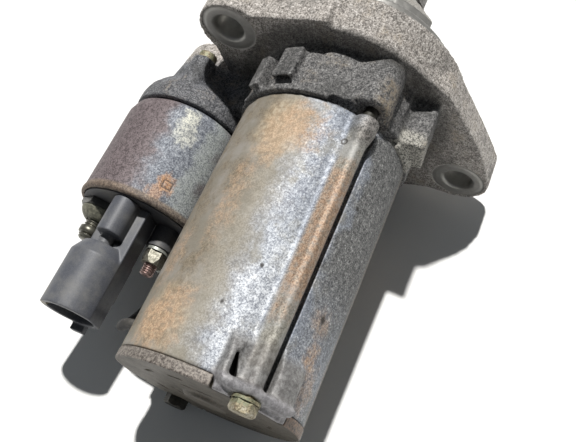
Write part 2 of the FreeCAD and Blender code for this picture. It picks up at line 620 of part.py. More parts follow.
def armature_group():
    shaft = fused(cyl(5.0, -147.6, -58), cyl(3.5, -58.5, -44), cyl(3.0, -44.5, -36.5))
    NODES["armature_shaft"] = shaft
    core = tube(ARMATURE_R, 5.02, CORE_REAR, CORE_FRONT)
    bars = []
    for i in range(SLOTS):
        degrees = 360.0 * i / SLOTS
        core = core.cut(turned(box(CORE_REAR - 1, CORE_FRONT + 1, 16.8, 24.4, -1.7, 1.7), degrees))
        core = core.cut(turned(box(CORE_REAR - 1, CORE_FRONT + 1, 24, 27, -0.8, 0.8), degrees))
        bars.append(turned(box(CORE_REAR - 1, CORE_FRONT + 1, 17.0, 24.2, -1.55, 1.55), degrees))
    NODES["armature_core"] = core
    rear = profile_turned([(-123.5, 9.5), (-122.5, 8.0), (-115.2, 8.0), (-115.2, 24.3),
                           (-119, 24.3), (-123.5, 19)])
    front = profile_turned([(-69.8, 8.0), (-63.5, 8.0), (-62, 10), (-62, 20), (-65.5, 24.3),
                            (-69.8, 24.3)])
    NODES["armature_windings"] = fused(rear, front, *bars)
    segment = profile_turned([(-139, 6.5), (-125.5, 6.5), (-125.5, 8), (-123.8, 8),
                              (-123.8, 16.5), (-125.5, 16.5), (-125.5, COMMUTATOR_R),
                              (-139, COMMUTATOR_R)])
    for i in range(SLOTS):
        segment = segment.cut(turned(box(-140, -123, 13.4, 18, -0.3, 0.3), 360.0 * i / SLOTS))
    NODES["commutator"] = segment.cut(cyl(6.7, -140, -122)).fuse(tube(6.7, 5.02, -139, -123.8))
    sun = gear(GEAR_MODULE, SUN_TEETH, -55.0, -44.2)
    NODES["sun_gear"] = sun.cut(cyl(3.52, -56, -44))


# ---------------------------------------------------------------- reduction gear
def reduction_group():
    ring_space = gear(GEAR_MODULE, RING_TEETH, -57, -42, 1.1, 0.85, -0.1, 360 / RING_TEETH / 2)
    NODES["ring_gear"] = cyl(INNER_R, -56, -43).cut(ring_space)
    step = fused(tube(INNER_R, 6.0, -59.2, -56.8), tube(29, 26.5, -56.9, -56.1))
    NODES["gear_plate"] = step
    pins = []
    for i in range(3):
        degrees = 120.0 * i
        c = polar(GEAR_CENTRE, degrees)
        phase = 360 / PLANET_TEETH / 2
        wheel = gear(GEAR_MODULE, PLANET_TEETH, -54.6, -44.6, phase_deg=phase)
        wheel = wheel.cut(cyl(2.5 + FIT, -56, -43))
        NODES["planet_gear_%d" % (i + 1)] = moved(turned(wheel, degrees), 0, c.y, c.z)
        pins.append(cyl(2.5, -55.4, -39.4, c.y, c.z))
    NODES["planet_pins"] = Part.makeCompound(pins)
    disc = cyl(20.5, -43.4, -39.2)
    for i in range(3):
        c = polar(GEAR_CENTRE, 120.0 * i)
        disc = disc.cut(cyl(2.52, -44, -39, c.y, c.z))
    NODES["planet_carrier"] = disc.cut(cyl(7.02, -44, -39))
    shaft = fused(cyl(7.0, -43.4, -8), cyl(5.5, -9, 53.5))
    for i in range(10):
        shaft = shaft.cut(turned(box(-28, -6, 6.3, 8, -0.9, 0.9), 36 * i))
    NODES["drive_shaft"] = shaft.cut(cyl(3.0 + FIT, -44, -36))


# ---------------------------------------------------------------- clutch and pinion
RING_GROOVE_X = PIVOT_X - TRAVEL / 2      # middle of the guide groove at rest
GROOVE_HALF = 3.5
CLUTCH_REAR = -14.4
PAD_R = 3.1


def clutch_group():
    g0, g1 = RING_GROOVE_X - GROOVE_HALF, RING_GROOVE_X + GROOVE_HALF
    guide = profile_turned([(g0 - 2, 8.2), (g1 + 2, 8.2), (g1 + 2, 15), (g1, 15), (g1, 9.6),
                            (g0, 9.6), (g0, 15), (g0 - 2, 15)])
    NODES["guide_ring"] = guide
    c0 = CLUTCH_REAR
    sleeve = tube(8.1, 7.0 + FIT, g0 - 2, c0 + 3)
    floor = tube(23.5, 7.0 + FIT, c0, c0 + 3)
    race = tube(23.5, 16.0, c0 + 3, c0 + 19.5)
    shell = fused(sleeve, floor, race)
    rollers = []
    for i in range(5):
        shell = shell.cut(turned(box(c0 + 3.1, c0 + 17.5, 14, 20.4, -6, 3.4), 72 * i))
        c = polar(16.6, 72 * i)
        rollers.append(cyl(2.9, c0 + 3.9, c0 + 17.1, c.y, c.z))
    NODES["clutch_shell"] = shell
    NODES["clutch_rollers"] = Part.makeCompound(rollers)
    cap = profile_turned([(c0 - 0.1, 23.6), (c0 - 0.1, 24.6), (c0 + 21.5, 24.6), (c0 + 21.5, 14.6),
                          (c0 + 19.6, 14.6), (c0 + 19.6, 23.6)])
    NODES["clutch_cover"] = cap
    hub = tube(13.4, 5.5 + FIT, c0 + 7.5, 8)
    teeth = gear(PINION_MODULE, PINION_TEETH, 8, 24.5, 0.88, 1.08, 0.3)
    teeth = teeth.common(fused(cyl(20, 8, 22.7), cone(15, 13.2, 22.7, 24.5)))
    bore = cyl(5.5 + FIT, -10, 26)
    recess = cyl(7.6, -10, 4.6)
    NODES["pinion"] = cut(fused(hub, teeth), bore, recess)
    NODES["stop_collar"] = tube(8.6, 5.52, 37.6, 41.0)
    NODES["snap_ring"] = tube(6.6, 5.52, 41.05, 42.2).cut(box(41, 43, 4, 8, -1.5, 1.5))


# ---------------------------------------------------------------- shift lever
def shift_lever():
    """Forked lever, drawn upright on its pivot and then leaned to its rest position."""
    arm = box(PIVOT_X - 2.2, PIVOT_X + 2.2, 19, 52, -4, 4)
    neck = box(PIVOT_X - 2.2, PIVOT_X + 2.2, 50, LEVER_ARM * 2, -2, 2)
    head = Part.makeCylinder(PAD_R, 4, V(PIVOT_X, 2 * LEVER_ARM, -2), V(0, 0, 1))
    eye = Part.makeCylinder(6, 12, V(PIVOT_X, LEVER_ARM, -6), V(0, 0, 1))
    yoke_bar = box(PIVOT_X - 2.2, PIVOT_X + 2.2, 17, 22, -14.2, 14.2)
    parts = [arm, neck, head, eye, yoke_bar]
    for side in (-1, 1):
        z0, z1 = sorted((side * 11.0, side * 14.2))
        parts.append(box(PIVOT_X - 1.5, PIVOT_X + 1.5, 0, 19, z0, z1))
        parts.append(Part.makeCylinder(PAD_R, z1 - z0, V(PIVOT_X, 0, z0), V(0, 0, 1)))
    lever = fused(*parts)
    lever = lever.cut(Part.makeCylinder(2.5 + FIT, 30, V(PIVOT_X, LEVER_ARM, -15), V(0, 0, 1)))
    lever.rotate(V(PIVOT_X, LEVER_ARM, 0), V(0, 0, 1), -LEVER_REST_DEG)
    return in_lever_plane(lever)


# ---------------------------------------------------------------- solenoid
PLUNGER_R = 11.0
COIL_REAR, COIL_FRONT = -78.5, -46.0
CORE_FACE = -70.3
PLUNGER_REAR = -58.0
PLUNGER_BORE_END = -38.0
STUD_HEAD_FRONT = -85.2
CONTACT_FRONT = STUD_HEAD_FRONT + 0.5 + CONTACT_TRAVEL + 1.5
CAP_FACE = CAN_REAR - 0.4     # rear face of the moulded cap
NUT_REAR = -94.6


def solenoid_group():
    y, z = SOL_Y, SOL_Z
    wall = profile_turned([(CAN_REAR, 26.4), (CAN_REAR, 27.6), (CAN_REAR + 0.8, 28.4),
                           (CAN_REAR + 2.2, 28.4), (CAN_REAR + 3, SOLENOID_R),
                           (CAN_FRONT - 6, SOLENOID_R), (CAN_FRONT - 2, SOLENOID_R - 1.2),
                           (CAN_FRONT, SOLENOID_R - 4), (CAN_FRONT, PLUNGER_R + GAP),
                           (COIL_FRONT + 0.3, PLUNGER_R + GAP), (COIL_FRONT + 0.3, 26.4)], y, z)
    screw_holes = []
    for degrees in SCREW_DEGS:
        c = polar(SCREW_CIRCLE_R, degrees)
        screw_holes.append(cyl(2.5 + FIT, COIL_FRONT - 1, CAN_FRONT + 1, y + c.y, z + c.z))
    NODES["solenoid_can"] = cut(wall, *screw_holes)
    bobbin = profile_turned([(COIL_REAR, 11.4), (COIL_REAR, 26), (COIL_REAR + 1.5, 26),
                             (COIL_REAR + 1.5, 12.4), (COIL_FRONT - 3.2, 12.4),
                             (COIL_FRONT - 3.2, 26), (COIL_FRONT - 1.7, 26),
                             (COIL_FRONT - 1.7, 11.4)], y, z)
    NODES["coil_bobbin"] = bobbin
    NODES["pull_in_coil"] = tube(18, 12.5, COIL_REAR + 1.6, COIL_FRONT - 3.3, y, z)
    NODES["hold_in_coil"] = tube(24.5, 18.1, COIL_REAR + 1.6, COIL_FRONT - 3.3, y, z)
    core = profile_turned([(COIL_REAR - 1, 2.2), (COIL_REAR - 1, 26.2), (COIL_REAR - 0.1, 26.2),
                           (COIL_REAR - 0.1, 11.3), (CORE_FACE, 11.3), (CORE_FACE, 2.2)], y, z)
    NODES["fixed_core"] = core
    barrel = cyl(PLUNGER_R, PLUNGER_REAR, -34, y, z)
    neck = cyl(6.5, -35, PLUNGER_ROOM_FRONT - 0.4, y, z)
    bore = cyl(7.0, PLUNGER_REAR - 1, PLUNGER_BORE_END, y, z)
    slot_x = PIVOT_X + TRAVEL / 2
    slot = in_lever_plane(box(slot_x - 3.5, slot_x + 3.5, 58, 70, -2.3, 2.3))
    NODES["plunger"] = cut(fused(barrel, neck), bore, slot)
    length = PLUNGER_BORE_END - CORE_FACE - 1.6
    NODES["return_spring"] = coil_spring(5.2, 0.6, length, 9, V(CORE_FACE + 0.8, y, z), X_AXIS)
    c0, c1 = CONTACT_FRONT - 1.5, CONTACT_FRONT
    NODES["contact_rod"] = fused(cyl(2.0, c0 - 3.4, -47.5, y, z), cyl(3.6, c0 - 1.2, c0 - 0.02, y, z))
    disc = tube(11.5, 2.02, c0, c1, y, z)
    arms = []
    for place in (BATTERY_STUD, MOTOR_STUD):
        reach = math.hypot(*place) + 3.5
        arm = turned(box(c0, c1, 0, reach, -5, 5), math.degrees(math.atan2(place[1], place[0])))
        arms.append(moved(arm, 0, y, z).cut(cyl(2.02, c0 - 1, c1 + 1, y, z)))
    NODES["contact_disc"] = fused(disc, *arms)


def solenoid_cap():
    """Moulded end cap with a raised boss under the motor stud's lug."""
    y, z = SOL_Y, SOL_Z
    by, bz = from_solenoid(BATTERY_STUD)
    my, mz = from_solenoid(MOTOR_STUD)
    skirt = tube(26.2, 24.4, COIL_REAR - 8.4, COIL_REAR - 1.1, y, z)
    lid = cyl(26.2, CAP_FACE, COIL_REAR - 8.3, y, z)
    motor_boss = cyl(5.8, LUG_X1 + 0.1, CAP_FACE + 1, my, mz)
    rod_room = cyl(2.6, -89.8, -86, y, z)
    battery_hole = cyl(BATTERY_STUD_R + FIT, -101, -85, by, bz)
    motor_hole = cyl(MOTOR_STUD_R + FIT, -102, -85, my, mz)
    return cut(fused(skirt, lid, motor_boss), rod_room, battery_hole, motor_hole)


def terminals_group():
    by, bz = from_solenoid(BATTERY_STUD)
    my, mz = from_solenoid(MOTOR_STUD)
    head_rear = STUD_HEAD_FRONT - 1.55
    NODES["solenoid_cap"] = solenoid_cap()
    NODES["battery_stud"] = fused(cyl(BATTERY_STUD_R, -108, -86, by, bz),
                                  cyl(6.6, head_rear, STUD_HEAD_FRONT, by, bz),
                                  cyl(4.6, -105.5, -102.5, by, bz))
    NODES["motor_stud"] = fused(cyl(MOTOR_STUD_R, -112.6, -86, my, mz),
                                cyl(5.4, head_rear, STUD_HEAD_FRONT, my, mz))
    nut = hexagon(16.6, NUT_REAR, CAP_FACE - 0.1, by, bz, 20)
    nut = nut.common(cone(8.6, 11.2, NUT_REAR, CAP_FACE - 0.1, by, bz))
    NODES["battery_nut"] = nut.cut(cyl(BATTERY_STUD_R + FIT, -120, -80, by, bz))
    bore = BATTERY_STUD_R + 0.06
    dome = profile_turned([(NUT_REAR - 0.1, bore), (NUT_REAR - 0.1, 8.2), (-95.6, 8.2), (-96.8, 7.6),
                           (-98.0, 6.6), (-99.0, 5.4), (-99.5, 4.5), (-99.5, bore)], by, bz)
    NODES["terminal_collar"] = dome
    nut = hexagon(8.6, -107.9, LUG_X0 - 0.15, my, mz, 15)
    nut = nut.common(cone(4.3, 5.6, -107.9, LUG_X0 - 0.15, my, mz))
    NODES["motor_nut"] = nut.cut(cyl(MOTOR_STUD_R + FIT, -120, -80, my, mz))


# ---------------------------------------------------------------- control connector
SOCKET_Y, SOCKET_Z = from_solenoid((1.2, 12.6))
SOCKET_R = 12.4
SOCKET_BORE_R = 10.0
SOCKET_OPEN = -140.0
SOCKET_FLOOR = -117.5
SHOULDER_REAR, SHOULDER_FRONT = -116.5, -111.0
NECK_X = -91.6
SIDE_Y = -9.9                 # flat side towards the motor, from the solenoid axis
SIDE_STEP = -129.0
STRIP_TOP = 18.3


def connector_group():
    """Moulded socket that stands behind the solenoid, open to the rear."""
    y, z = SOL_Y, SOL_Z
    round_part = fused(cyl(SOCKET_R, SOCKET_OPEN, SHOULDER_REAR, SOCKET_Y, SOCKET_Z),
                       cone(SOCKET_R, 9.5, SHOULDER_REAR, SHOULDER_FRONT, SOCKET_Y, SOCKET_Z))
    round_part = round_part.cut(box(SOCKET_OPEN - 1, -110, y - 30, y + SIDE_Y, z - 10, z + 40))
    neck = box(-112, NECK_X, y - 9, y + 9, z + 3.6, z + 14.6)
    side = box(SIDE_STEP, NECK_X, y + SIDE_Y, y - 5.8, z + 6, z + STRIP_TOP)
    side_rear = box(SOCKET_OPEN, SIDE_STEP, y + SIDE_Y, y - 6.4, z + 7, z + STRIP_TOP - 0.7)
    pad = box(-115, -109, y - 6, y - 3.2, z + 10, z + STRIP_TOP)
    hood = cyl(5.4, -107, NECK_X, y - 0.4, z + 20.5)
    hood_foot = box(-107, NECK_X, y - 5.8, y + 5.0, z + 14, z + 20.5)
    small = cyl(2.9, -112.6, -106, y + 0.6, z + 18.2)
    latch = box(SOCKET_OPEN - 3, -126, y - 1, y + 4.7, z - 3, z + 0.8)
    body = fused(round_part, neck, side, side_rear, pad, hood, hood_foot, small, latch)
    room = cyl(SOCKET_BORE_R, SOCKET_OPEN - 1, SOCKET_FLOOR, SOCKET_Y, SOCKET_Z)
    blade_slot = box(-119, -100, SOCKET_Y - 3.3, SOCKET_Y + 3.3, SOCKET_Z - 0.55, SOCKET_Z + 0.55)
    my, mz = from_solenoid(MOTOR_STUD)
    by, bz = from_solenoid(BATTERY_STUD)
    clearances = [cyl(6.2, -113, NECK_X + 1, my, mz), cyl(10.2, -95, NECK_X + 1, by, bz),
                  cyl(8.8, -100, NECK_X + 1, by, bz)]
    NODES["connector_housing"] = cut(body, room, blade_slot, *clearances)
    NODES["connector_blade"] = box(-131, -101, SOCKET_Y - 3.15, SOCKET_Y + 3.15,
                                   SOCKET_Z - 0.4, SOCKET_Z + 0.4)


# ---------------------------------------------------------------- build and write
def build():
    housing_group()
    NODES["yoke_tube"] = yoke_tube()
    NODES["rear_cover"] = rear_cover()
    through_bolts()
    motor_lead_group()
    magnets_and_brushes()
    armature_group()
    reduction_group()
    clutch_group()
    NODES["shift_lever"] = shift_lever()
    solenoid_group()
    terminals_group()
    connector_group()


build()
os.makedirs("parts", exist_ok=True)
for name, shape in NODES.items():
    if not shape.isValid() or shape.Volume <= 0:
        print("check the shape of", name, shape.isValid(), shape.Volume)
    shape.exportStep("parts/%s.step" % name)
print(len(NODES), "nodes written")
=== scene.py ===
from functools import partial
import json
import math

import bmesh
import bpy
import numpy as np
from mathutils import Matrix, Vector, noise


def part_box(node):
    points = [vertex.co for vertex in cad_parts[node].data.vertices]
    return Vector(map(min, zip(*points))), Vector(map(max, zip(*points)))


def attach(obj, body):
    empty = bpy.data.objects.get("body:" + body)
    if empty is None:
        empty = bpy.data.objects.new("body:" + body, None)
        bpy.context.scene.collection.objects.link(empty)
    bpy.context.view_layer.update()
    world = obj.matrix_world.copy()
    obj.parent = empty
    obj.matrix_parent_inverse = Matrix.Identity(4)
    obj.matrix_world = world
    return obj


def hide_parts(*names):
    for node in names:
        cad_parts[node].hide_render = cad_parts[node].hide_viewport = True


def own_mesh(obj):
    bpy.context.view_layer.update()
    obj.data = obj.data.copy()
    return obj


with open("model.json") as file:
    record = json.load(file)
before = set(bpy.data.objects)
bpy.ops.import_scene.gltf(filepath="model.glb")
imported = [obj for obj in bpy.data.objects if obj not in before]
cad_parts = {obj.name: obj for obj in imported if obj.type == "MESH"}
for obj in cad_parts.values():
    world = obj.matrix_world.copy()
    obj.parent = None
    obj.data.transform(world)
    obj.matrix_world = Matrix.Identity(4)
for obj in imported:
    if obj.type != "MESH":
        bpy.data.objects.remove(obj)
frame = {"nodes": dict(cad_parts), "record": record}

# Starter motor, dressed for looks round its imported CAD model. Lengths are in
# millimetres unless a comment says metres, and are turned into metres where they are used.
MM = 0.001
TO_MM = 1000.0
SCENE = bpy.context.scene
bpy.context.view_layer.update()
NODES = frame["nodes"]
SLOT_OF = {part["node"]: part["material_slot"] for part in frame["record"]["subparts"]}
MOUNTS = {mount["name"]: mount for mount in frame["record"]["mounts"]}


def middle(node):
    """Centre of a node's box, in metres."""
    low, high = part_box(node)
    return (Vector(low) + Vector(high)) / 2


SOLENOID = middle("fixed_core")
BATTERY_STUD = middle("battery_stud")
MOTOR_STUD = middle("motor_stud")
HOLE_NEAR = Vector(MOUNTS["mounting_hole_near"]["pos_m"])
HOLE_FAR = Vector(MOUNTS["mounting_hole_far"]["pos_m"])


# outer radii of the motor tube and of the solenoid can
YOKE_R, CAN_R = 35.0, 28.0
CAN_ACROSS_PER_DEGREE = math.radians(CAN_R)

# places round the motor's axis, in degrees from +Y towards +Z
RIDGE_DEGREES = (122.0, 302.0)      # the tube's ridges over the two long bolts
PAD_DEGREES = 126.5                 # the pad at the tube's rear end
LUG_DEGREES = 161.5                 # the pitted lug of the drive housing

# small marks in the sheet, as x and the angle round the tube's or the can's axis
PUNCH = (-53.1, 115.4)
STAMP = (-80.5, 120.0)
STAMP_HALF_X, STAMP_HALF_ACROSS = 1.6, 1.9


def on_yoke(x, degrees, r=YOKE_R):
    """Place on the motor tube, in metres: x in mm, and the angle from +Y towards +Z."""
    a = math.radians(degrees)
    return (x * MM, r * MM * math.cos(a), r * MM * math.sin(a))


def on_can(x, degrees):
    """Place on the solenoid can, in metres."""
    a = math.radians(degrees)
    r = CAN_R * MM
    return (x * MM, SOLENOID.y + r * math.cos(a), SOLENOID.z + r * math.sin(a))


# ------------------------------------------------------------------ camera, light, floor
def make_camera():
    """The photo's view of the motor; the place is in metres."""
    data = bpy.data.cameras.new("camera")
    data.lens = 42.29
    data.sensor_width = 36
    data.clip_start = 0.01
    camera = bpy.data.objects.new("camera", data)
    SCENE.collection.objects.link(camera)
    forward = Vector((0.3837, 0.2306, -0.8942)).normalized()
    right = forward.cross(Vector((0.8395, 0.3163, 0.4417))).normalized()
    up = right.cross(forward).normalized()
    place = Matrix((right, up, -forward)).transposed().to_4x4()
    place.translation = Vector((-0.1772, -0.0609, 0.2372))
    camera.matrix_world = place
    SCENE.camera = camera


def make_light():
    """One sun from above, and a faint bluish sky."""
    world = bpy.data.worlds.new("studio")
    SCENE.world = world
    world.use_nodes = True
    background = world.node_tree.nodes["Background"]
    background.inputs["Color"].default_value = (0.86, 0.93, 1.0, 1.0)
    background.inputs["Strength"].default_value = 0.13
    sun = bpy.data.lights.new("key", "SUN")
    sun.energy = 4.6
    sun.angle = math.radians(2.4)
    sun.color = (1.0, 0.985, 0.96)
    key = bpy.data.objects.new("key", sun)
    SCENE.collection.objects.link(key)
    key.rotation_mode = "QUATERNION"
    key.rotation_quaternion = Vector((-0.45, -0.12, -0.887)).to_track_quat("-Z", "Y")
    SCENE.view_settings.view_transform = "Standard"


def make_floor():
    """Pale floor that the motor lies on, a little tilted against the motor axis."""
    normal = Vector((0.132, 0.0, 0.991)).normalized()
    lowest = min(normal.dot(v.co) for node in NODES.values() for v in node.data.vertices)
    mesh = bpy.data.meshes.new("floor")
    half_side = 3.0         # metres
    form = bmesh.new()
    bmesh.ops.create_grid(form, x_segments=1, y_segments=1, size=half_side)
    form.to_mesh(mesh)
    form.free()
    floor = bpy.data.objects.new("floor", mesh)
    floor.rotation_mode = "QUATERNION"
    floor.rotation_quaternion = normal.to_track_quat("Z", "Y")
    floor.location = normal * lowest
    SCENE.collection.objects.link(floor)
    pale = Shade("floor_pale")
    pale.colour((0.84, 0.84, 0.83))
    pale.set("Roughness", 0.9)
    pale.set("Specular IOR Level", 0.1)
    mesh.materials.append(pale.material)


# ------------------------------------------------------------------ material nodes
class Shade:
    """Adds nodes to one material. Sizes are in mm, places in metres in the row frame."""

    def __init__(self, name):
        self.material = bpy.data.materials.new(name)
        self.material.use_nodes = True
        self.tree = self.material.node_tree
        self.surface = self.tree.nodes["Principled BSDF"]
        self.place = self.node("ShaderNodeTexCoord").outputs["Object"]
        self.normal = None

    def node(self, kind, **settings):
        made = self.tree.nodes.new(kind)
        for key, value in settings.items():
            setattr(made, key, value)
        return made

    def put(self, socket, value):
        if isinstance(value, bpy.types.NodeSocket):
            self.tree.links.new(value, socket)
        elif isinstance(value, (tuple, list)) and len(value) == 3 and socket.type == "RGBA":
            socket.default_value = (*value, 1.0)
        else:
            socket.default_value = value

    def set(self, name, value):
        self.put(self.surface.inputs[name], value)

    def colour(self, value):
        self.set("Base Color", value)

    def math(self, operation, a, b=0.0):
        made = self.node("ShaderNodeMath", operation=operation)
        self.put(made.inputs[0], a)
        self.put(made.inputs[1], b)
        return made.outputs[0]

    def plus(self, a, b):
        return self.math("ADD", a, b)

    def minus(self, a, b):
        return self.math("SUBTRACT", a, b)

    def times(self, first, *others):
        """Product of values; of masks, the part that they share."""
        for other in others:
            first = self.math("MULTIPLY", first, other)
        return first

    def highest(self, first, *others):
        """Highest of the values; of masks, the part that any of them covers."""
        for other in others:
            first = self.math("MAXIMUM", first, other)
        return first

    def vector(self, operation, a, b=(0.0, 0.0, 0.0)):
        made = self.node("ShaderNodeVectorMath", operation=operation)
        self.put(made.inputs[0], a)
        self.put(made.inputs[1], b)
        return made.outputs["Value" if operation == "LENGTH" else "Vector"]

    def noise(self, size, detail=3.0, rough=0.6, shift=0.0, stretch=(1.0, 1.0, 1.0)):
        made = self.node("ShaderNodeTexNoise")
        place = self.place
        if shift or stretch != (1.0, 1.0, 1.0):
            place = self.vector("MULTIPLY", place, stretch)
            place = self.vector("ADD", place, (shift, shift, shift))
        self.put(made.inputs["Vector"], place)
        self.put(made.inputs["Scale"], 1.0 / (size * MM))
        self.put(made.inputs["Detail"], detail)
        self.put(made.inputs["Roughness"], rough)
        return made.outputs[0]

    def ramp(self, value, low, high, out_low=0.0, out_high=1.0, smooth=True):
        made = self.node("ShaderNodeMapRange", clamp=True)
        made.interpolation_type = "SMOOTHSTEP" if smooth else "LINEAR"
        for index, given in enumerate((value, low, high, out_low, out_high)):
            self.put(made.inputs[index], given)
        return made.outputs[0]

    def mix(self, factor, a, b):
        made = self.node("ShaderNodeMix", data_type="RGBA", clamp_factor=True)
        colour_a, colour_b, colour_out = 6, 7, 2    # a mix node has sockets for each data type
        self.put(made.inputs[0], factor)
        self.put(made.inputs[colour_a], a)
        self.put(made.inputs[colour_b], b)
        return made.outputs[colour_out]

    def fade(self, value, low, high, before, after):
        """Goes from one tone to another as a value goes from low to high."""
        return self.mix(self.ramp(value, low, high), before, after)

    def cover(self, tone, mask, strength, top):
        """Lays a tone over another where a mask is 1, with that strength."""
        return self.mix(self.times(mask, strength), tone, top)

    def speckle(self, fine, coarse, share):
        """Two noises in one; the share is the fine one's."""
        return self.plus(self.times(fine, share), self.times(coarse, 1 - share))

    def near(self, centre, size_x, size_across, ragged=0.5, grain=3.0):
        """1 at a place in metres and 0 beyond an oval round it, with a ragged edge."""
        away = self.vector("SUBTRACT", self.place, centre)
        across = 1 / (size_across * MM)
        scaled = self.vector("MULTIPLY", away, (1 / (size_x * MM), across, across))
        edge = self.times(self.minus(self.noise(grain, 4), 0.5), ragged * 2)
        return self.ramp(self.plus(self.vector("LENGTH", scaled), edge), 1.0, 0.35)

    def off_axis(self, y, z):
        """Distance in mm from a line along X; y and z are in metres."""
        away = self.vector("SUBTRACT", self.place, (0.0, y, z))
        flat = self.vector("MULTIPLY", away, (0.0, TO_MM, TO_MM))
        return self.vector("LENGTH", flat)

    def split(self):
        """The place's x, y and z, in mm."""
        made = self.node("ShaderNodeSeparateXYZ")
        self.put(made.inputs[0], self.place)
        return [self.times(out, TO_MM) for out in made.outputs]

    def angle(self, y=0.0, z=0.0):
        """Angle round a line along X, in degrees from +Y towards +Z; y and z are in metres."""
        _, across, up = self.split()
        turn = self.math("ARCTAN2", self.minus(up, z / MM), self.minus(across, y / MM))
        return self.math("DEGREES", turn)

    def bump(self, height, depth):
        """Adds relief of that depth in mm (or a socket's, in metres) to the relief so far."""
        made = self.node("ShaderNodeBump")
        self.put(made.inputs["Height"], height)
        given = isinstance(depth, bpy.types.NodeSocket)
        self.put(made.inputs["Distance"], depth if given else depth * MM)
        if self.normal is not None:
            self.put(made.inputs["Normal"], self.normal)
        self.normal = made.outputs[0]
        self.set("Normal", self.normal)

    def rounded(self, radius):
        """Softens the light along edges."""
        made = self.node("ShaderNodeBevel")
        made.samples = 4
        self.put(made.inputs["Radius"], radius * MM)
        self.normal = made.outputs[0]
        self.set("Normal", self.normal)


def metal(name, base, dark, rough=0.35, metallic=0.9, stain=(0.20, 0.11, 0.05), stained=0.25,
          grain=0.6, brushed=(1.0, 1.0, 1.0), relief=0.02, edge=0.25):
    """Bare or plated metal: fine brushed grain, cloudy tarnish and rusty or greasy spots."""
    shade = Shade(name)
    shade.rounded(edge)
    fine = shade.noise(grain, 5, 0.7, stretch=brushed)
    cloud = shade.noise(7.0, 4, 0.6, shift=3.1)
    spots = shade.ramp(shade.noise(2.2, 6, 0.75, shift=7.7), 0.62 - 0.2 * stained, 0.72)
    tone = shade.fade(fine, 0.3, 0.7, dark, base)
    tone = shade.mix(shade.ramp(cloud, 0.45, 0.75, 0.0, 0.6), tone, dark)
    spots = shade.times(spots, min(1.0, 0.35 + stained))
    shade.colour(shade.mix(spots, tone, stain))
    shade.set("Metallic", shade.ramp(spots, 0.0, 0.6, metallic, 0.1))
    shade.set("Roughness", shade.plus(rough - 0.1, shade.times(cloud, 0.3)))
    shade.bump(fine, relief)
    return shade


def moulded(name, base, dust=(0.22, 0.20, 0.16), dusty=0.3, rough=0.5, relief=0.02, edge=0.3):
    """Moulded resin or rubber: fine surface grain, scuffs and settled dust."""
    shade = Shade(name)
    shade.rounded(edge)
    fine = shade.noise(0.35, 4, 0.7)
    cloud = shade.noise(9.0, 5, 0.65, shift=1.3)
    lighter = tuple(min(1.0, c * 1.5 + 0.01) for c in base)
    tone = shade.fade(fine, 0.35, 0.7, base, lighter)
    settled = shade.times(shade.ramp(cloud, 0.4, 0.75), dusty)
    shade.colour(shade.mix(settled, tone, dust))
    shade.set("Roughness", shade.plus(rough, shade.times(cloud, 0.2)))
    shade.bump(fine, relief)
    return shade


def wound(name, base, band):
    """Varnished copper wire: light turns with dark varnish between them, each a band wide."""
    bands_per_unit = 6.3        # of a wave texture at scale 1
    shade = Shade(name)
    wave = shade.node("ShaderNodeTexWave", bands_direction="X")
    shade.put(wave.inputs["Vector"], shade.place)
    shade.put(wave.inputs["Scale"], 1.0 / (band * MM * bands_per_unit))
    turns = wave.outputs["Fac"]
    cloud = shade.noise(5.0, 3)
    dark = tuple(c * 0.25 for c in base)
    light = shade.mix(cloud, base, (0.30, 0.10, 0.04))
    shade.colour(shade.fade(turns, 0.1, 0.6, dark, light))
    shade.set("Metallic", 0.7)
    shade.set("Roughness", shade.plus(0.3, shade.times(cloud, 0.25)))
    shade.bump(turns, 0.15)
    return shade


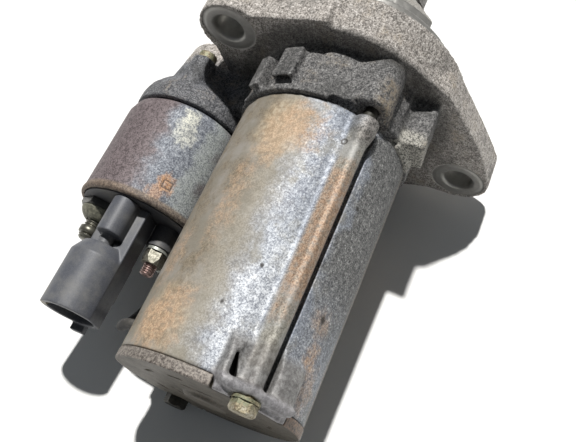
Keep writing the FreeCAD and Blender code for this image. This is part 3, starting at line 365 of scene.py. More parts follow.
def cast_aluminium(name):
    """Sand-cast and dirty, with machined seats round the mounting holes and on the pilot, and
    painted shade behind the flange.
    """
    shade = Shade(name)
    x, _, _ = shade.split()
    fine = shade.noise(0.62, 3, 0.75)
    coarse = shade.noise(1.5, 4, 0.75, shift=2.0)
    cloud = shade.noise(14.0, 4, 0.6, shift=5.0)
    speck = shade.speckle(fine, coarse, 0.6)
    # darker behind the flange, at x below -19: painted shade of the flange's shadow on the neck,
    # with dimmer glints there too
    band = shade.ramp(x, -19.0, -14.5)
    dark = shade.mix(band, (0.022, 0.022, 0.024), (0.12, 0.108, 0.095))
    light = shade.mix(band, (0.215, 0.21, 0.205), (0.56, 0.52, 0.48))
    tone = shade.fade(speck, 0.40, 0.59, dark, light)
    glint = shade.ramp(speck, 0.56, 0.65)
    tone = shade.mix(glint, tone, shade.mix(band, (0.42, 0.42, 0.41), (0.90, 0.87, 0.84)))
    plain = shade.fade(speck, 0.36, 0.64, (0.20, 0.195, 0.18), (0.40, 0.39, 0.365))
    tone = shade.mix(shade.ramp(x, 8.0, 14.0, 0.0, 0.8), tone, plain)
    blue = shade.ramp(shade.off_axis(SOLENOID.y, SOLENOID.z), 31.0, 24.0, 0.0, 0.55)
    blue = shade.times(blue, shade.ramp(x, -8.0, -18.0))
    tone = shade.mix(blue, tone,
                     shade.fade(speck, 0.4, 0.68, (0.05, 0.055, 0.07), (0.30, 0.32, 0.37)))
    tan = shade.times(shade.ramp(cloud, 0.5, 0.75), shade.ramp(coarse, 0.4, 0.6))
    tone = shade.cover(tone, tan, 0.6, (0.33, 0.25, 0.15))
    grime = shade.times(shade.ramp(cloud, 0.48, 0.32), 0.5)
    tone = shade.mix(grime, tone, (0.03, 0.03, 0.028))
    # painted shade: the flange's shadow on its rear face and in the gap behind it, next to the tube
    flange_shadow = shade.times(shade.ramp(shade.off_axis(0.0, 0.0), 50.0, 43.0),
                         shade.ramp(x, -20.0, -17.0), shade.ramp(x, -13.0, -15.5))
    tone = shade.cover(tone, flange_shadow, 0.6, (0.02, 0.02, 0.018))
    _, lug_y, lug_z = on_yoke(0.0, LUG_DEGREES, 36.4)
    lug = shade.times(shade.ramp(shade.off_axis(lug_y, lug_z), 10.5, 8.0),
                      shade.ramp(x, -30.0, -34.0))
    pitted = shade.fade(speck, 0.42, 0.56, (0.07, 0.068, 0.06), (0.52, 0.50, 0.44))
    tone = shade.cover(tone, lug, 0.8, pitted)
    # machined seats: both spot faces, the mounting face and the pilot
    spot_faces = [shade.ramp(shade.off_axis(hole.y, hole.z), 12.4, 11.4)
                  for hole in (HOLE_NEAR, HOLE_FAR)]
    pilot = shade.times(shade.ramp(x, -0.6, -0.1), shade.ramp(x, 15.5, 15.0))
    seats = shade.highest(*spot_faces, pilot)
    turned = shade.mix(shade.noise(3.0, 5, 0.7), (0.20, 0.195, 0.18), (0.42, 0.41, 0.39))
    tone = shade.mix(seats, tone, turned)
    shade.colour(tone)
    shade.set("Metallic", shade.ramp(seats, 0.0, 1.0, 0.15, 0.55))
    shade.set("Roughness", shade.ramp(seats, 0.0, 1.0, 0.62, 0.42))
    rough_height = shade.times(speck, shade.ramp(seats, 0.0, 1.0, 1.0, 0.08))
    shade.bump(rough_height, 0.55)
    return shade


def zinc_plated_steel(name):
    """Plated motor tube: bright spangled middle with a painted highlight along it, tan stains with
    painted light towards the top, rust patches, a grimy far side and painted shade on the lower
    half.
    """
    shade = Shade(name)
    shade.rounded(0.35)
    x, _, _ = shade.split()
    wobble = shade.times(shade.minus(shade.noise(11.0, 5, 0.6), 0.5), 42.0)
    angle = shade.plus(shade.angle(), wobble)
    true_angle = shade.angle()
    fine = shade.noise(0.62, 3, 0.75)
    medium = shade.noise(1.9, 5, 0.75, shift=4.0)
    speck = shade.speckle(fine, medium, 0.6)
    cloud = shade.noise(9.0, 5, 0.65, shift=9.0)
    blotch = shade.noise(16.0, 4, 0.6, shift=21.0)
    silver = shade.fade(speck, 0.38, 0.58, (0.11, 0.12, 0.15), (0.36, 0.385, 0.425))
    sparkle = shade.times(shade.ramp(speck, 0.54, 0.64), shade.ramp(cloud, 0.35, 0.62, 0.35, 1.0))
    silver = shade.mix(sparkle, silver, (0.84, 0.86, 0.88))
    silver = shade.mix(shade.ramp(blotch, 0.46, 0.60, 0.0, 0.65), silver,
                       shade.fade(speck, 0.38, 0.62, (0.11, 0.125, 0.155), (0.30, 0.33, 0.38)))
    silver = shade.mix(shade.ramp(cloud, 0.5, 0.7, 0.0, 0.5), silver, (0.27, 0.25, 0.20))
    # painted highlight: a bright band along the tube between 94 and 120 degrees, fading out towards
    # the rear
    painted_highlight = shade.times(shade.ramp(angle, 94.0, 104.0), shade.ramp(angle, 120.0, 110.0),
                         shade.ramp(x, -78.0, -100.0), shade.ramp(speck, 0.44, 0.58, 0.1, 0.6))
    silver = shade.mix(painted_highlight, silver, (0.66, 0.68, 0.70))
    tan = shade.fade(speck, 0.38, 0.62, (0.13, 0.108, 0.075), (0.27, 0.225, 0.165))
    tan = shade.fade(cloud, 0.35, 0.65, tan, (0.27, 0.25, 0.22))
    # lighter towards the top, from 60 to 82 degrees: painted light on the tan stains
    pale = shade.fade(speck, 0.38, 0.62, (0.28, 0.255, 0.205), (0.42, 0.39, 0.335))
    tan = shade.mix(shade.ramp(angle, 60.0, 82.0, 0.0, 0.7), tan, pale)
    dirty = shade.times(shade.ramp(blotch, 0.42, 0.60), shade.ramp(cloud, 0.40, 0.60, 0.3, 1.0))
    tan = shade.cover(tan, dirty, 0.5, (0.17, 0.15, 0.105))
    left = shade.ramp(angle, 104.0, 76.0)
    tone = shade.mix(left, silver, tan)
    glow = shade.highest(shade.near(on_yoke(-56, 76), 17.0, 13.0, 0.5, 7.0),
                         shade.times(shade.near(on_yoke(-134, 58), 17.0, 14.0, 0.5, 7.0), 0.6))
    tone = shade.cover(tone, glow, 0.65,
                       shade.fade(medium, 0.4, 0.6, (0.34, 0.24, 0.14), (0.62, 0.51, 0.36)))
    grimy = shade.fade(speck, 0.38, 0.60, (0.03, 0.031, 0.033), (0.215, 0.215, 0.21))
    grimy = shade.fade(speck, 0.56, 0.64, grimy, (0.46, 0.46, 0.45))
    grimy_here = shade.times(shade.ramp(angle, 128.0, 140.0),
                             shade.ramp(x, -128.0, -92.0, 0.25, 1.0))
    tone = shade.mix(grimy_here, tone, grimy)
    # painted shade on the tube's lower half
    underside_shade = shade.highest(shade.ramp(true_angle, 20.0, -30.0), shade.ramp(true_angle, 172.0, 180.0))
    tone = shade.cover(tone, underside_shade, 0.6, (0.16, 0.145, 0.125))
    # rust: (x, degrees, length, width, strength)
    patches = []
    for at_x, degrees, long, wide, strength in (
            (-53.5, 86.0, 13.0, 13.0, 0.95), (-61.0, 75.0, 14.0, 9.0, 0.7),
            (-88.0, 66.0, 26.0, 6.5, 0.55), (-136.0, 57.0, 15.0, 13.0, 1.0),
            (-128.0, 66.0, 9.0, 8.0, 0.75), (-126.5, 151.0, 6.5, 5.0, 1.0),
            (-136.0, 158.0, 11.0, 8.0, 0.6), (-115.0, 149.0, 7.0, 6.0, 0.6),
            (-112.0, 42.0, 16.0, 7.0, 0.5), (-70.0, 215.0, 24.0, 17.0, 0.7),
            (-118.0, 300.0, 20.0, 16.0, 0.7), (-60.0, 330.0, 18.0, 14.0, 0.6),
            (-140.0, 245.0, 13.0, 17.0, 0.8)):
        patch = shade.near(on_yoke(at_x, degrees), long, wide, 0.9, 5.0)
        patches.append(shade.times(patch, strength))
    rust = shade.times(shade.highest(*patches), shade.ramp(medium, 0.36, 0.60, 0.15, 0.8))
    ochre = shade.fade(fine, 0.36, 0.64, (0.28, 0.155, 0.08), (0.60, 0.42, 0.27))
    tone = shade.mix(rust, tone, ochre)
    # the ridges over the long bolts: rusty along the middle, greenish tan towards both ends
    ridges = []
    for degrees in RIDGE_DEGREES:
        _, at_y, at_z = on_yoke(0.0, degrees, 36.2)
        ridges.append(shade.ramp(shade.off_axis(at_y, at_z), 5.6, 3.9))
    ridge = shade.highest(*ridges)
    olive = shade.fade(speck, 0.38, 0.62, (0.13, 0.115, 0.08), (0.33, 0.305, 0.24))
    olive = shade.fade(cloud, 0.40, 0.66, olive, (0.30, 0.295, 0.275))
    tone = shade.mix(shade.times(ridge, shade.ramp(x, -141.0, -137.0, 0.25, 0.8)), tone, olive)
    along = shade.plus(x, shade.times(shade.noise(7.0, 4, 0.7, shift=2.0), 40.0))
    rusty = shade.times(shade.ramp(along, -106.0, -90.0), shade.ramp(along, -38.0, -52.0), ridge,
                        shade.ramp(medium, 0.34, 0.58, 0.25, 0.9))
    brown = shade.fade(fine, 0.36, 0.64, (0.17, 0.095, 0.05), (0.42, 0.285, 0.19))
    tone = shade.mix(rusty, tone, brown)
    # painted shadow: a dark patch beside the front end of the ridge at 122 degrees
    ridge_nose_shadow = shade.times(shade.near(on_yoke(-46, 123.5, 39), 10.5, 7.0, 0.35), 0.9)
    tone = shade.mix(ridge_nose_shadow, tone,
                     shade.fade(speck, 0.42, 0.58, (0.035, 0.032, 0.028), (0.28, 0.26, 0.24)))
    # the lip of the end pad is worn bright
    _, pad_y, pad_z = on_yoke(0.0, PAD_DEGREES, 37.5)
    lip = shade.times(shade.ramp(shade.off_axis(pad_y, pad_z), 18.0, 15.5),
                      shade.ramp(x, -142.6, -144.8))
    worn = shade.fade(medium, 0.36, 0.64, (0.19, 0.18, 0.185), (0.36, 0.35, 0.355))
    tone = shade.cover(tone, lip, 0.9, worn)
    # the pad between the arms is dull and brownish, and its pointed slot is painted near-black as
    # painted shade
    pad = shade.times(shade.ramp(shade.off_axis(pad_y, pad_z), 17.5, 14.5),
                      shade.ramp(x, -128.5, -134.0), shade.ramp(x, -145.5, -143.5))
    dull = shade.fade(medium, 0.36, 0.64, (0.115, 0.105, 0.095), (0.26, 0.25, 0.235))
    tone = shade.cover(tone, pad, 0.8, dull)
    # painted shade: the pointed slot, near-black
    low = shade.minus(true_angle, shade.ramp(x, -132.4, -144.6, 106.6, 107.6, False))
    high = shade.minus(shade.ramp(x, -132.4, -144.6, 107.4, 113.6, False), true_angle)
    slot = shade.times(shade.ramp(low, 0.0, 0.6), shade.ramp(high, 0.0, 0.6),
                       shade.ramp(shade.off_axis(0.0, 0.0), 36.3, 35.6),
                       shade.ramp(x, -132.0, -133.0), shade.ramp(x, -145.2, -144.4))
    tone = shade.mix(slot, tone, (0.008, 0.008, 0.008))
    # dark pits and dings
    for at_x, degrees, size in ((-104.3, 30.7, 1.5), (-113.4, 148.4, 1.7), (-107.9, 101.2, 1.0),
                                (-72.0, 140.0, 0.9), (-124.0, 90.0, 0.8)):
        pit = shade.near(on_yoke(at_x, degrees), size * 1.3, size, 0.3, 0.8)
        tone = shade.cover(tone, pit, 0.9, (0.02, 0.017, 0.015))
    # a round centre-punch mark: dark ring with a bright middle
    away = shade.vector("SUBTRACT", shade.place, on_yoke(*PUNCH))
    punch = shade.times(shade.vector("LENGTH", away), TO_MM)
    ring = shade.times(shade.ramp(punch, 0.9, 1.25), shade.ramp(punch, 1.9, 1.5))
    tone = shade.cover(tone, ring, 0.85, (0.05, 0.045, 0.04))
    tone = shade.fade(punch, 0.9, 0.5, tone, (0.80, 0.80, 0.76))
    shade.colour(tone)
    bright = shade.times(shade.ramp(left, 0.0, 1.0, 1.0, 0.35),
                         shade.ramp(shade.highest(rust, grimy_here), 0.0, 0.8, 1.0, 0.15))
    shade.set("Metallic", shade.times(bright, 0.3))
    roughness = shade.ramp(bright, 0.0, 1.0, 0.66, 0.50)
    shade.set("Roughness", shade.plus(roughness, shade.times(cloud, 0.12)))
    shade.bump(cloud, 0.25)
    shade.bump(speck, shade.ramp(shade.highest(lip, pad), 0.0, 1.0, 0.14 * MM, 0.03 * MM))
    return shade


def can_steel(name):
    """Solenoid can: purple-brown tarnish, blue-grey speckled middle, a white bloom and rust."""
    shade = Shade(name)
    shade.rounded(0.3)
    x, _, _ = shade.split()
    wobble = shade.times(shade.minus(shade.noise(9.0, 5, 0.6), 0.5), 40.0)
    angle = shade.plus(shade.angle(SOLENOID.y, SOLENOID.z), wobble)
    fine = shade.noise(0.62, 3, 0.75)
    medium = shade.noise(1.8, 5, 0.75, shift=4.0)
    speck = shade.speckle(fine, medium, 0.55)
    brown = shade.fade(speck, 0.40, 0.60, (0.065, 0.050, 0.052), (0.22, 0.18, 0.185))
    blue = shade.fade(speck, 0.41, 0.58, (0.075, 0.084, 0.105), (0.29, 0.31, 0.345))
    blue = shade.fade(speck, 0.56, 0.66, blue, (0.62, 0.64, 0.65))
    side = shade.fade(speck, 0.40, 0.60, (0.17, 0.185, 0.19), (0.60, 0.63, 0.63))
    blue = shade.mix(shade.ramp(angle, 124.0, 136.0, 0.0, 0.95), blue, side)
    middle_part = shade.times(shade.ramp(angle, 88.0, 104.0), shade.ramp(angle, 160.0, 140.0))
    tone = shade.mix(middle_part, brown, blue)
    moss = shade.times(shade.ramp(angle, 124.0, 136.0), shade.ramp(medium, 0.42, 0.6))
    tone = shade.cover(tone, moss, 0.45, (0.10, 0.12, 0.10))
    bloom = shade.highest(shade.near(on_can(-50, 111), 8.0, 5.5, 0.7),
                          shade.times(shade.near(on_can(-57, 112), 8.5, 6.5, 0.8), 0.75))
    bloom = shade.times(bloom, shade.ramp(speck, 0.40, 0.60, 0.1, 0.95))
    tone = shade.mix(bloom, tone, (0.72, 0.71, 0.60))
    rust = shade.highest(shade.near(on_can(-80.5, 119), 6.0, 5.0, 0.7),
                         shade.times(shade.near(on_can(-86, 114), 5.0, 5.0, 0.8), 0.7))
    far_side = shade.times(shade.near(on_can(-70, 300), 16.0, 14.0, 0.7), 0.6)
    rust = shade.highest(rust, far_side)
    rust = shade.times(rust, shade.ramp(medium, 0.34, 0.55, 0.35, 1.0))
    ochre = shade.fade(fine, 0.38, 0.62, (0.26, 0.125, 0.06), (0.62, 0.38, 0.22))
    tone = shade.mix(rust, tone, ochre)
    # a small stamped rectangle
    turn = shade.minus(shade.angle(SOLENOID.y, SOLENOID.z), STAMP[1])
    across = shade.math("ABSOLUTE", shade.times(turn, CAN_ACROSS_PER_DEGREE))
    inside_across = shade.minus(across, STAMP_HALF_ACROSS)
    inside_x = shade.math("ABSOLUTE", shade.minus(x, STAMP[0]))
    inside_x = shade.minus(inside_x, STAMP_HALF_X)
    stamped = shade.math("ABSOLUTE", shade.highest(inside_x, inside_across))
    stamp = shade.ramp(stamped, 0.42, 0.18)
    tone = shade.cover(tone, stamp, 0.75, (0.07, 0.06, 0.055))
    rim = shade.ramp(x, -86.8, -88.6)
    rim_tone = shade.fade(speck, 0.4, 0.62, (0.085, 0.062, 0.048), (0.27, 0.205, 0.145))
    tone = shade.cover(tone, rim, 0.85, rim_tone)
    shade.colour(tone)
    shade.set("Metallic", shade.times(shade.ramp(rust, 0.0, 0.8, 1.0, 0.2), 0.2))
    shade.set("Roughness", shade.plus(0.56, shade.times(medium, 0.16)))
    shade.bump(shade.noise(9.0, 3, 0.5, shift=6.0), 0.2)
    shade.bump(speck, 0.14)
    return shade


def pressed_steel(name):
    """Rear cover: dull olive face and a paler, purplish rim."""
    shade = metal(name, (0.115, 0.098, 0.074), (0.04, 0.036, 0.028), rough=0.55, metallic=0.2,
                  stain=(0.13, 0.08, 0.04), stained=0.3, grain=1.0, relief=0.08, edge=0.4)
    old = shade.surface.inputs["Base Color"].links[0].from_socket
    rim = shade.ramp(shade.off_axis(0.0, 0.0), 34.3, 34.8)
    grain = shade.noise(0.9, 4, 0.75)
    rim_tone = shade.fade(grain, 0.36, 0.64, (0.075, 0.062, 0.055), (0.33, 0.295, 0.26))
    brown = shade.times(shade.ramp(shade.angle(), 138.0, 150.0), shade.ramp(grain, 0.42, 0.56))
    rim_tone = shade.cover(rim_tone, brown, 0.7, (0.24, 0.14, 0.085))
    shade.colour(shade.cover(old, rim, 0.9, rim_tone))
    return shade


def bolt_steel(name):
    """Long bolts, washers and solenoid screws: dull yellowish plating, greened and sooty, with
    painted shade on the far bolt's head.
    """
    shade = Shade(name)
    shade.rounded(0.3)
    x, _, z = shade.split()
    fine = shade.noise(0.7, 4, 0.7)
    medium = shade.noise(3.0, 4, 0.7, shift=2.0)
    plated = shade.fade(fine, 0.38, 0.62, (0.10, 0.08, 0.045), (0.37, 0.32, 0.21))
    plated = shade.fade(medium, 0.46, 0.62, plated, (0.44, 0.41, 0.33))
    green = shade.times(shade.ramp(x, -151.6, -151.0), shade.ramp(medium, 0.40, 0.58))
    tone = shade.cover(plated, green, 0.7, (0.13, 0.15, 0.075))
    brown = shade.ramp(shade.noise(2.0, 5, 0.75, shift=6.0), 0.56, 0.68)
    tone = shade.cover(tone, brown, 0.6, (0.12, 0.06, 0.03))
    soot_and_head_shade = shade.times(shade.ramp(x, -120.0, -100.0), shade.ramp(x, -25.0, -32.0))
    # painted shade on the head and washer of the far long bolt, added to the soot on the shanks
    far_head_shade = shade.times(shade.ramp(z, -20.0, -28.0), shade.ramp(x, -130.0, -145.0))
    soot_and_head_shade = shade.highest(soot_and_head_shade, far_head_shade)
    tone = shade.cover(tone, soot_and_head_shade, 0.93, (0.018, 0.017, 0.015))
    shade.colour(tone)
    shade.set("Metallic", 0.35)
    shade.set("Roughness", shade.plus(0.38, shade.times(fine, 0.3)))
    shade.bump(fine, 0.12)
    return shade


def connector_plastic(name):
    """Dark moulded socket with pale specks and a patch of tan dust near its mouth."""
    shade = moulded(name, (0.062, 0.066, 0.078), dust=(0.20, 0.195, 0.18), dusty=0.55, rough=0.40,
                    relief=0.04, edge=0.35)
    old = shade.surface.inputs["Base Color"].links[0].from_socket
    specks = shade.ramp(shade.noise(0.9, 6, 0.8, shift=8.0), 0.60, 0.70)
    tone = shade.cover(old, specks, 0.35, (0.32, 0.31, 0.27))
    edge_dust = shade.near((-0.136, SOLENOID.y + 11.5 * MM, SOLENOID.z + 16 * MM), 14.0, 5.0, 0.6)
    tone = shade.cover(tone, edge_dust, 0.4, (0.36, 0.30, 0.16))
    shade.colour(tone)
    return shade


def zinc_nut(name):
    """Plated nuts: yellowish with dark spots, and greasy all over at the battery stud."""
    shade = metal(name, (0.34, 0.325, 0.27), (0.10, 0.094, 0.07), rough=0.3, metallic=0.6,
                  stain=(0.06, 0.05, 0.04), stained=0.35, grain=1.4, relief=0.06, edge=0.3)
    old = shade.surface.inputs["Base Color"].links[0].from_socket
    battery_side = shade.ramp(shade.off_axis(BATTERY_STUD.y, BATTERY_STUD.z), 13.0, 11.0)
    greasy = shade.mix(shade.noise(2.0, 4, 0.7), (0.045, 0.045, 0.045), (0.15, 0.145, 0.13))
    shade.colour(shade.mix(battery_side, old, greasy))
    return shade


def stud_copper(name):
    """Copper threads, pinkish where bare; the battery stud is greened over."""
    shade = metal(name, (0.50, 0.36, 0.33), (0.15, 0.095, 0.085), rough=0.32, metallic=0.75,
                  stain=(0.05, 0.03, 0.03), stained=0.2, grain=0.9, relief=0.04, edge=0.15)
    old = shade.surface.inputs["Base Color"].links[0].from_socket
    battery_side = shade.ramp(shade.off_axis(BATTERY_STUD.y, BATTERY_STUD.z), 12.0, 10.0)
    green = shade.mix(shade.noise(1.4, 5, 0.7), (0.055, 0.06, 0.05), (0.20, 0.20, 0.16))
    shade.colour(shade.cover(old, battery_side, 0.92, green))
    return shade


# what makes each slot's material, given the slot's name
MATERIALS = {
    "cast_aluminium": cast_aluminium,
    "zinc_plated_steel": zinc_plated_steel,
    "can_steel": can_steel,
    "pressed_steel": pressed_steel,
    "bolt_steel": bolt_steel,
    "connector_plastic": connector_plastic,
    "zinc_nut": zinc_nut,
    "stud_copper": stud_copper,
    "black_plastic": partial(moulded, base=(0.045, 0.046, 0.052), dusty=0.35, rough=0.45),
    "corroded_brass": partial(metal, base=(0.30, 0.29, 0.22), dark=(0.09, 0.09, 0.07), rough=0.5,
                              metallic=0.35, stain=(0.10, 0.11, 0.07), stained=0.5, grain=1.6,
                              relief=0.12),
    "lead_sheath": partial(moulded, base=(0.028, 0.027, 0.027), dusty=0.45, rough=0.55),
    "tinned_copper": partial(metal, base=(0.50, 0.51, 0.47), dark=(0.22, 0.23, 0.20), rough=0.4,
                             metallic=0.5, stain=(0.16, 0.20, 0.16), stained=0.5, grain=1.0),
    "rubber_seal": partial(moulded, base=(0.022, 0.022, 0.022), dusty=0.4, rough=0.65),
    "ferrite": partial(metal, base=(0.09, 0.09, 0.095), dark=(0.035, 0.035, 0.037), rough=0.6,
                       metallic=0.2, stained=0.1),
    "spring_steel": partial(metal, base=(0.50, 0.50, 0.52), dark=(0.20, 0.20, 0.21), rough=0.25,
                            stained=0.1, grain=0.4),
    "brush_plate_resin": partial(moulded, base=(0.20, 0.105, 0.045), dusty=0.2),
    "sheet_brass": partial(metal, base=(0.66, 0.50, 0.24), dark=(0.30, 0.20, 0.08), rough=0.3,
                           stain=(0.14, 0.09, 0.05), grain=0.8, brushed=(0.2, 1.0, 1.0)),
    "sintered_bronze": partial(metal, base=(0.44, 0.28, 0.14), dark=(0.20, 0.115, 0.05), rough=0.5,
                               metallic=0.6, stained=0.2, grain=0.3, relief=0.05),
    "gear_resin": partial(moulded, base=(0.10, 0.092, 0.08), dusty=0.1, rough=0.4),
    "machined_steel": partial(metal, base=(0.56, 0.56, 0.57), dark=(0.30, 0.30, 0.31), rough=0.28,
                              stained=0.1, grain=0.5, brushed=(4.0, 0.6, 0.6), relief=0.01),
    "bobbin_resin": partial(moulded, base=(0.11, 0.11, 0.10), dusty=0.1, rough=0.45),
    "enamelled_wire": partial(wound, base=(0.55, 0.21, 0.08), band=0.9),
    "lamination_steel": partial(metal, base=(0.26, 0.26, 0.27), dark=(0.09, 0.09, 0.095), rough=0.4,
                                stained=0.2, grain=0.5, brushed=(3.0, 0.05, 0.05)),
    "commutator_copper": partial(metal, base=(0.70, 0.38, 0.24), dark=(0.30, 0.13, 0.07),
                                 rough=0.25, stain=(0.05, 0.035, 0.03), grain=0.7,
                                 brushed=(4.0, 0.4, 0.4)),
    "gear_steel": partial(metal, base=(0.42, 0.42, 0.44), dark=(0.17, 0.17, 0.18), rough=0.3,
                          stain=(0.10, 0.075, 0.04), stained=0.3, grain=0.6),
    "clutch_cover_steel": partial(metal, base=(0.50, 0.50, 0.48), dark=(0.24, 0.24, 0.23),
                                  rough=0.35, stained=0.25, grain=0.7, brushed=(0.3, 1.0, 1.0)),
    "lever_resin": partial(moulded, base=(0.15, 0.142, 0.115), dusty=0.15, rough=0.45),
    "brush_carbon": partial(metal, base=(0.085, 0.07, 0.062), dark=(0.03, 0.027, 0.025), rough=0.55,
                            metallic=0.2, stain=(0.25, 0.12, 0.06), stained=0.15, grain=0.4),
}


# ------------------------------------------------------------------ mesh pieces
def add_piece(name, mesh, *nodes):
    """Links a mesh as a piece that stands for CAD nodes of the fixed housing."""
    piece = bpy.data.objects.new(name, mesh)
    SCENE.collection.objects.link(piece)
    for polygon in mesh.polygons:
        polygon.use_smooth = True
    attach(piece, "housing")
    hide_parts(*nodes)
    mesh.materials.clear()
    mesh.materials.append(FINISH[SLOT_OF[nodes[0]]])
    return piece


def skinned(node, voxel, smoothing):
    """Closed, even mesh of a node's shape, with its edges a little rounded."""
    mesh = NODES[node].data.copy()
    form = bmesh.new()
    form.from_mesh(mesh)
    bmesh.ops.remove_doubles(form, verts=form.verts, dist=1e-6)
    form.to_mesh(mesh)
    form.free()
    work = bpy.data.objects.new("work", mesh)
    SCENE.collection.objects.link(work)
    remesh = work.modifiers.new("remesh", "REMESH")
    remesh.mode = "VOXEL"
    remesh.voxel_size = voxel * MM
    smooth = work.modifiers.new("smooth", "SMOOTH")
    smooth.factor = 0.5
    smooth.iterations = smoothing
    graph = bpy.context.evaluated_depsgraph_get()
    done = bpy.data.meshes.new_from_object(work.evaluated_get(graph))
    bpy.data.objects.remove(work)
    return done


def points_of(mesh):
    """Vertex places and normals of a mesh as arrays, places in mm."""
    places = np.empty(len(mesh.vertices) * 3)
    normals = np.empty(len(mesh.vertices) * 3)
    mesh.vertices.foreach_get("co", places)
    mesh.vertex_normals.foreach_get("vector", normals)
    return places.reshape(-1, 3) / MM, normals.reshape(-1, 3)


def ripple(places, size, seed):
    """Smooth noise between -1 and 1 at each place, of a given size in mm."""
    shift = Vector((seed, seed * 1.7, seed * 2.3))
    return np.array([noise.noise(Vector(p) / size + shift) for p in places])


def raise_surface(mesh, height):
    """Moves each vertex along its normal by its height in mm."""
    places, normals = points_of(mesh)
    moved = (places + normals * height[:, None]) * MM
    mesh.vertices.foreach_set("co", moved.ravel())
    mesh.update()


def cast_housing():
    """The drive housing with a sand-cast skin, smooth on its machined seats and in its bores."""
    mesh = skinned("drive_housing", 0.8, 2)
    seat_r, inside_r, face_x, pilot_end = 12.6, 31.5, -0.7, 9.8
    places, _ = points_of(mesh)
    x, y, z = places.T
    rough = np.ones(len(places))
    for hole in (HOLE_NEAR / MM, HOLE_FAR / MM):
        rough[np.hypot(y - hole.y, z - hole.z) < seat_r] = 0.1
    rough[np.hypot(y, z) < inside_r] = 0.1
    rough[(x > face_x) & (x < pilot_end)] = 0.05
    height = 0.10 * ripple(places, 1.6, 3.0) + 0.16 * ripple(places, 4.5, 8.0)
    raise_surface(mesh, height * rough)
    add_piece("drive_housing_cast", mesh, "drive_housing")


def yoke_skin():
    """The motor tube, a little dented, with rounded edges and its punch mark's ring."""
    inside_r, fade = 33.0, 1.5
    ring_depth, ring_r, ring_width = 0.4, 1.4, 0.55
    mesh = skinned("yoke_tube", 0.6, 4)
    places, _ = points_of(mesh)
    _, y, z = places.T
    outside = np.clip((np.hypot(y, z) - inside_r) / fade, 0, 1)
    height = 0.10 * ripple(places, 16.0, 5.0) + 0.02 * ripple(places, 1.5, 9.0)
    punch = np.linalg.norm(places - np.array(on_yoke(*PUNCH)) / MM, axis=1)
    height -= ring_depth * np.exp(-((punch - ring_r) / ring_width) ** 2)
    raise_surface(mesh, height * outside)
    add_piece("yoke_tube_skin", mesh, "yoke_tube")


def socket_skin():
    """The moulded socket with its edges rounded."""
    mesh = skinned("connector_housing", 0.35, 3)
    add_piece("connector_socket", mesh, "connector_housing")


def can_skin():
    """The solenoid can, a little dented, with a stamped rectangle pressed in."""
    inside_r, groove_depth, groove_width = 26.5, 0.35, 0.4
    mesh = skinned("solenoid_can", 0.5, 3)
    places, _ = points_of(mesh)
    x, y, z = places.T
    outside = np.clip(np.hypot(y - SOLENOID.y / MM, z - SOLENOID.z / MM) - inside_r, 0, 1)
    height = 0.09 * ripple(places, 13.0, 2.0) - 0.05 + 0.02 * ripple(places, 1.5, 4.0)
    turn = np.degrees(np.arctan2(z - SOLENOID.z / MM, y - SOLENOID.y / MM))
    inside_x = np.abs(x - STAMP[0]) - STAMP_HALF_X
    inside_across = np.abs(turn - STAMP[1]) * CAN_ACROSS_PER_DEGREE - STAMP_HALF_ACROSS
    groove = np.maximum(inside_x, inside_across)
    height -= groove_depth * np.exp(-(groove / groove_width) ** 2)
    raise_surface(mesh, height * outside)
    add_piece("solenoid_can_skin", mesh, "solenoid_can")


def cover_skin():
    """The pressed rear cover with rounded edges and soft slots."""
    mesh = skinned("rear_cover", 0.4, 3)
    add_piece("rear_cover_pressed", mesh, "rear_cover")


def mesh_of_rings(name, rings):
    """Closed mesh through rings of points in metres, with flat ends."""
    form = bmesh.new()
    rings = [[form.verts.new(point) for point in ring] for ring in rings]
    for before, after in zip(rings, rings[1:]):
        for k in range(len(before)):
            nxt = (k + 1) % len(before)
            form.faces.new((before[k], after[k], after[nxt], before[nxt]))
    form.faces.new(list(reversed(rings[0])))
    form.faces.new(rings[-1])
    bmesh.ops.recalc_face_normals(form, faces=form.faces)
    mesh = bpy.data.meshes.new(name)
    form.to_mesh(mesh)
    form.free()
    return mesh


def lathe(outline, y, z, threads):
    """Turned mesh about a line along X from (x, r) in mm, with screw threads cut in it.

    The line's y and z are in metres. A thread is (first x, last x, pitch, depth) in mm."""
    segments, steps_per_pitch = 64, 8
    stations = []
    for (x0, r0), (x1, r1) in zip(outline, outline[1:]):
        cut = next((t for t in threads if t[0] <= min(x0, x1) and max(x0, x1) <= t[1]), None)
        steps = max(1, int(abs(x1 - x0) / (cut[2] / steps_per_pitch))) if cut else 1
        for step in range(steps):
            part = step / steps
            stations.append((x0 + (x1 - x0) * part, r0 + (r1 - r0) * part, cut))
    stations.append((*outline[-1], None))
    rings = []
    for x, r, cut in stations:
        ring = []
        for k in range(segments):
            turn = k / segments
            depth = 0.0
            if cut:
                _, _, pitch, deepest = cut
                phase = (x / pitch + turn) % 1.0
                depth = deepest * (1 - abs(2 * phase - 1))
            a = 2 * math.pi * turn
            at_r = (r - depth) * MM
            ring.append((x * MM, y + at_r * math.cos(a), z + at_r * math.sin(a)))
        rings.append(ring)
    return mesh_of_rings("lathe", rings)


def terminal_studs():
    """Both terminal studs with their real threads."""
    outline = [(-108.0, 2.9), (-107.3, 3.95), (-105.6, 3.95), (-105.5, 4.3), (-105.2, 4.6),
               (-102.8, 4.6), (-102.5, 4.3), (-102.4, 3.95), (-95.0, 3.95), (-94.9, 3.98),
               (-86.8, 3.98), (-86.75, 6.6), (-85.2, 6.6)]
    mesh = lathe(outline, BATTERY_STUD.y, BATTERY_STUD.z, [(-107.4, -105.5, 1.25, 0.7),
                                                           (-102.5, -94.95, 1.25, 0.7)])
    add_piece("battery_stud_threaded", mesh, "battery_stud")
    outline = [(-112.6, 2.1), (-112.0, 2.97), (-108.0, 2.97), (-107.9, 2.98), (-86.8, 2.98),
               (-86.75, 5.4), (-85.2, 5.4)]
    mesh = lathe(outline, MOTOR_STUD.y, MOTOR_STUD.z, [(-112.1, -107.95, 1.0, 0.55)])
    add_piece("motor_stud_threaded", mesh, "motor_stud")


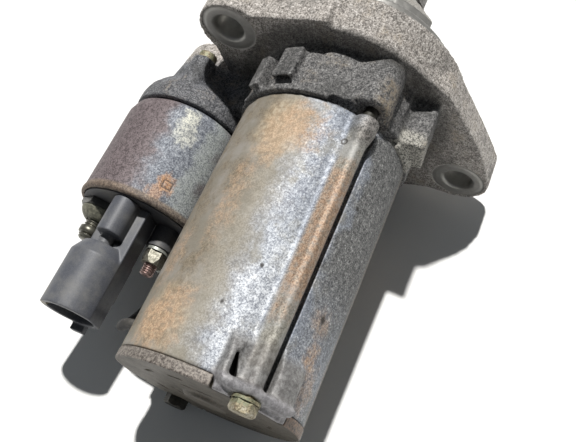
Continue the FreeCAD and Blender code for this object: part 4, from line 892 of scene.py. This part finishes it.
def coil_mesh(start, axis, length, radius, wire, turns):
    """Round-wire helix from a start in metres along an axis; the sizes are in mm."""
    steps_per_turn, around = 20, 8
    axis = Vector(axis).normalized()
    side = axis.orthogonal().normalized()
    other = axis.cross(side)
    rings = []
    count = int(turns * steps_per_turn)
    for k in range(count + 1):
        a = 2 * math.pi * turns * k / count
        out = side * math.cos(a) + other * math.sin(a)
        centre = Vector(start) + (out * radius + axis * (length * k / count)) * MM
        ring = []
        for j in range(around):
            b = 2 * math.pi * j / around
            ring.append(centre + (out * math.cos(b) + axis * math.sin(b)) * wire * MM)
        rings.append(ring)
    return mesh_of_rings("coil", rings)


def springs():
    """Coil springs for the plunger and for each brush."""
    radius, wire, turns = 5.2, 0.6, 9
    low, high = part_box("return_spring")
    x0, x1 = low[0] / MM + wire, high[0] / MM - wire
    start = (x0 * MM, SOLENOID.y, SOLENOID.z)
    mesh = coil_mesh(start, (1, 0, 0), x1 - x0, radius, wire, turns)
    piece = add_piece("return_spring_coil", mesh, "return_spring")
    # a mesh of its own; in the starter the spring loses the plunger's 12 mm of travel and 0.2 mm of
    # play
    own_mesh(piece)
    # each brush spring reaches from the holder's wall, at r = outer, to the brush's back
    outer, brush_back = 27.1, 23.9
    radius, wire, turns = 2.4, 0.3, 3.5
    x = middle("brush_springs").x
    for name, degrees in (("a", 45), ("b", 135), ("c", 225), ("d", 315)):
        a = math.radians(degrees)
        out = (0.0, math.cos(a), math.sin(a))
        start = tuple(np.array([x, 0, 0]) + np.array(out) * outer * MM)
        inward = tuple(-np.array(out))
        mesh = coil_mesh(start, inward, outer - brush_back, radius, wire, turns)
        piece = add_piece("brush_spring_" + name, mesh, "brush_springs")
        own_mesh(piece)


# ------------------------------------------------------------------ make it
make_camera()
make_light()
make_floor()
FINISH = {slot: make(slot).material for slot, make in MATERIALS.items()}
for node_name, node in NODES.items():
    for place in node.material_slots:
        place.material = FINISH[SLOT_OF[node_name]]
cast_housing()
yoke_skin()
socket_skin()
can_skin()
cover_skin()
terminal_studs()
springs()
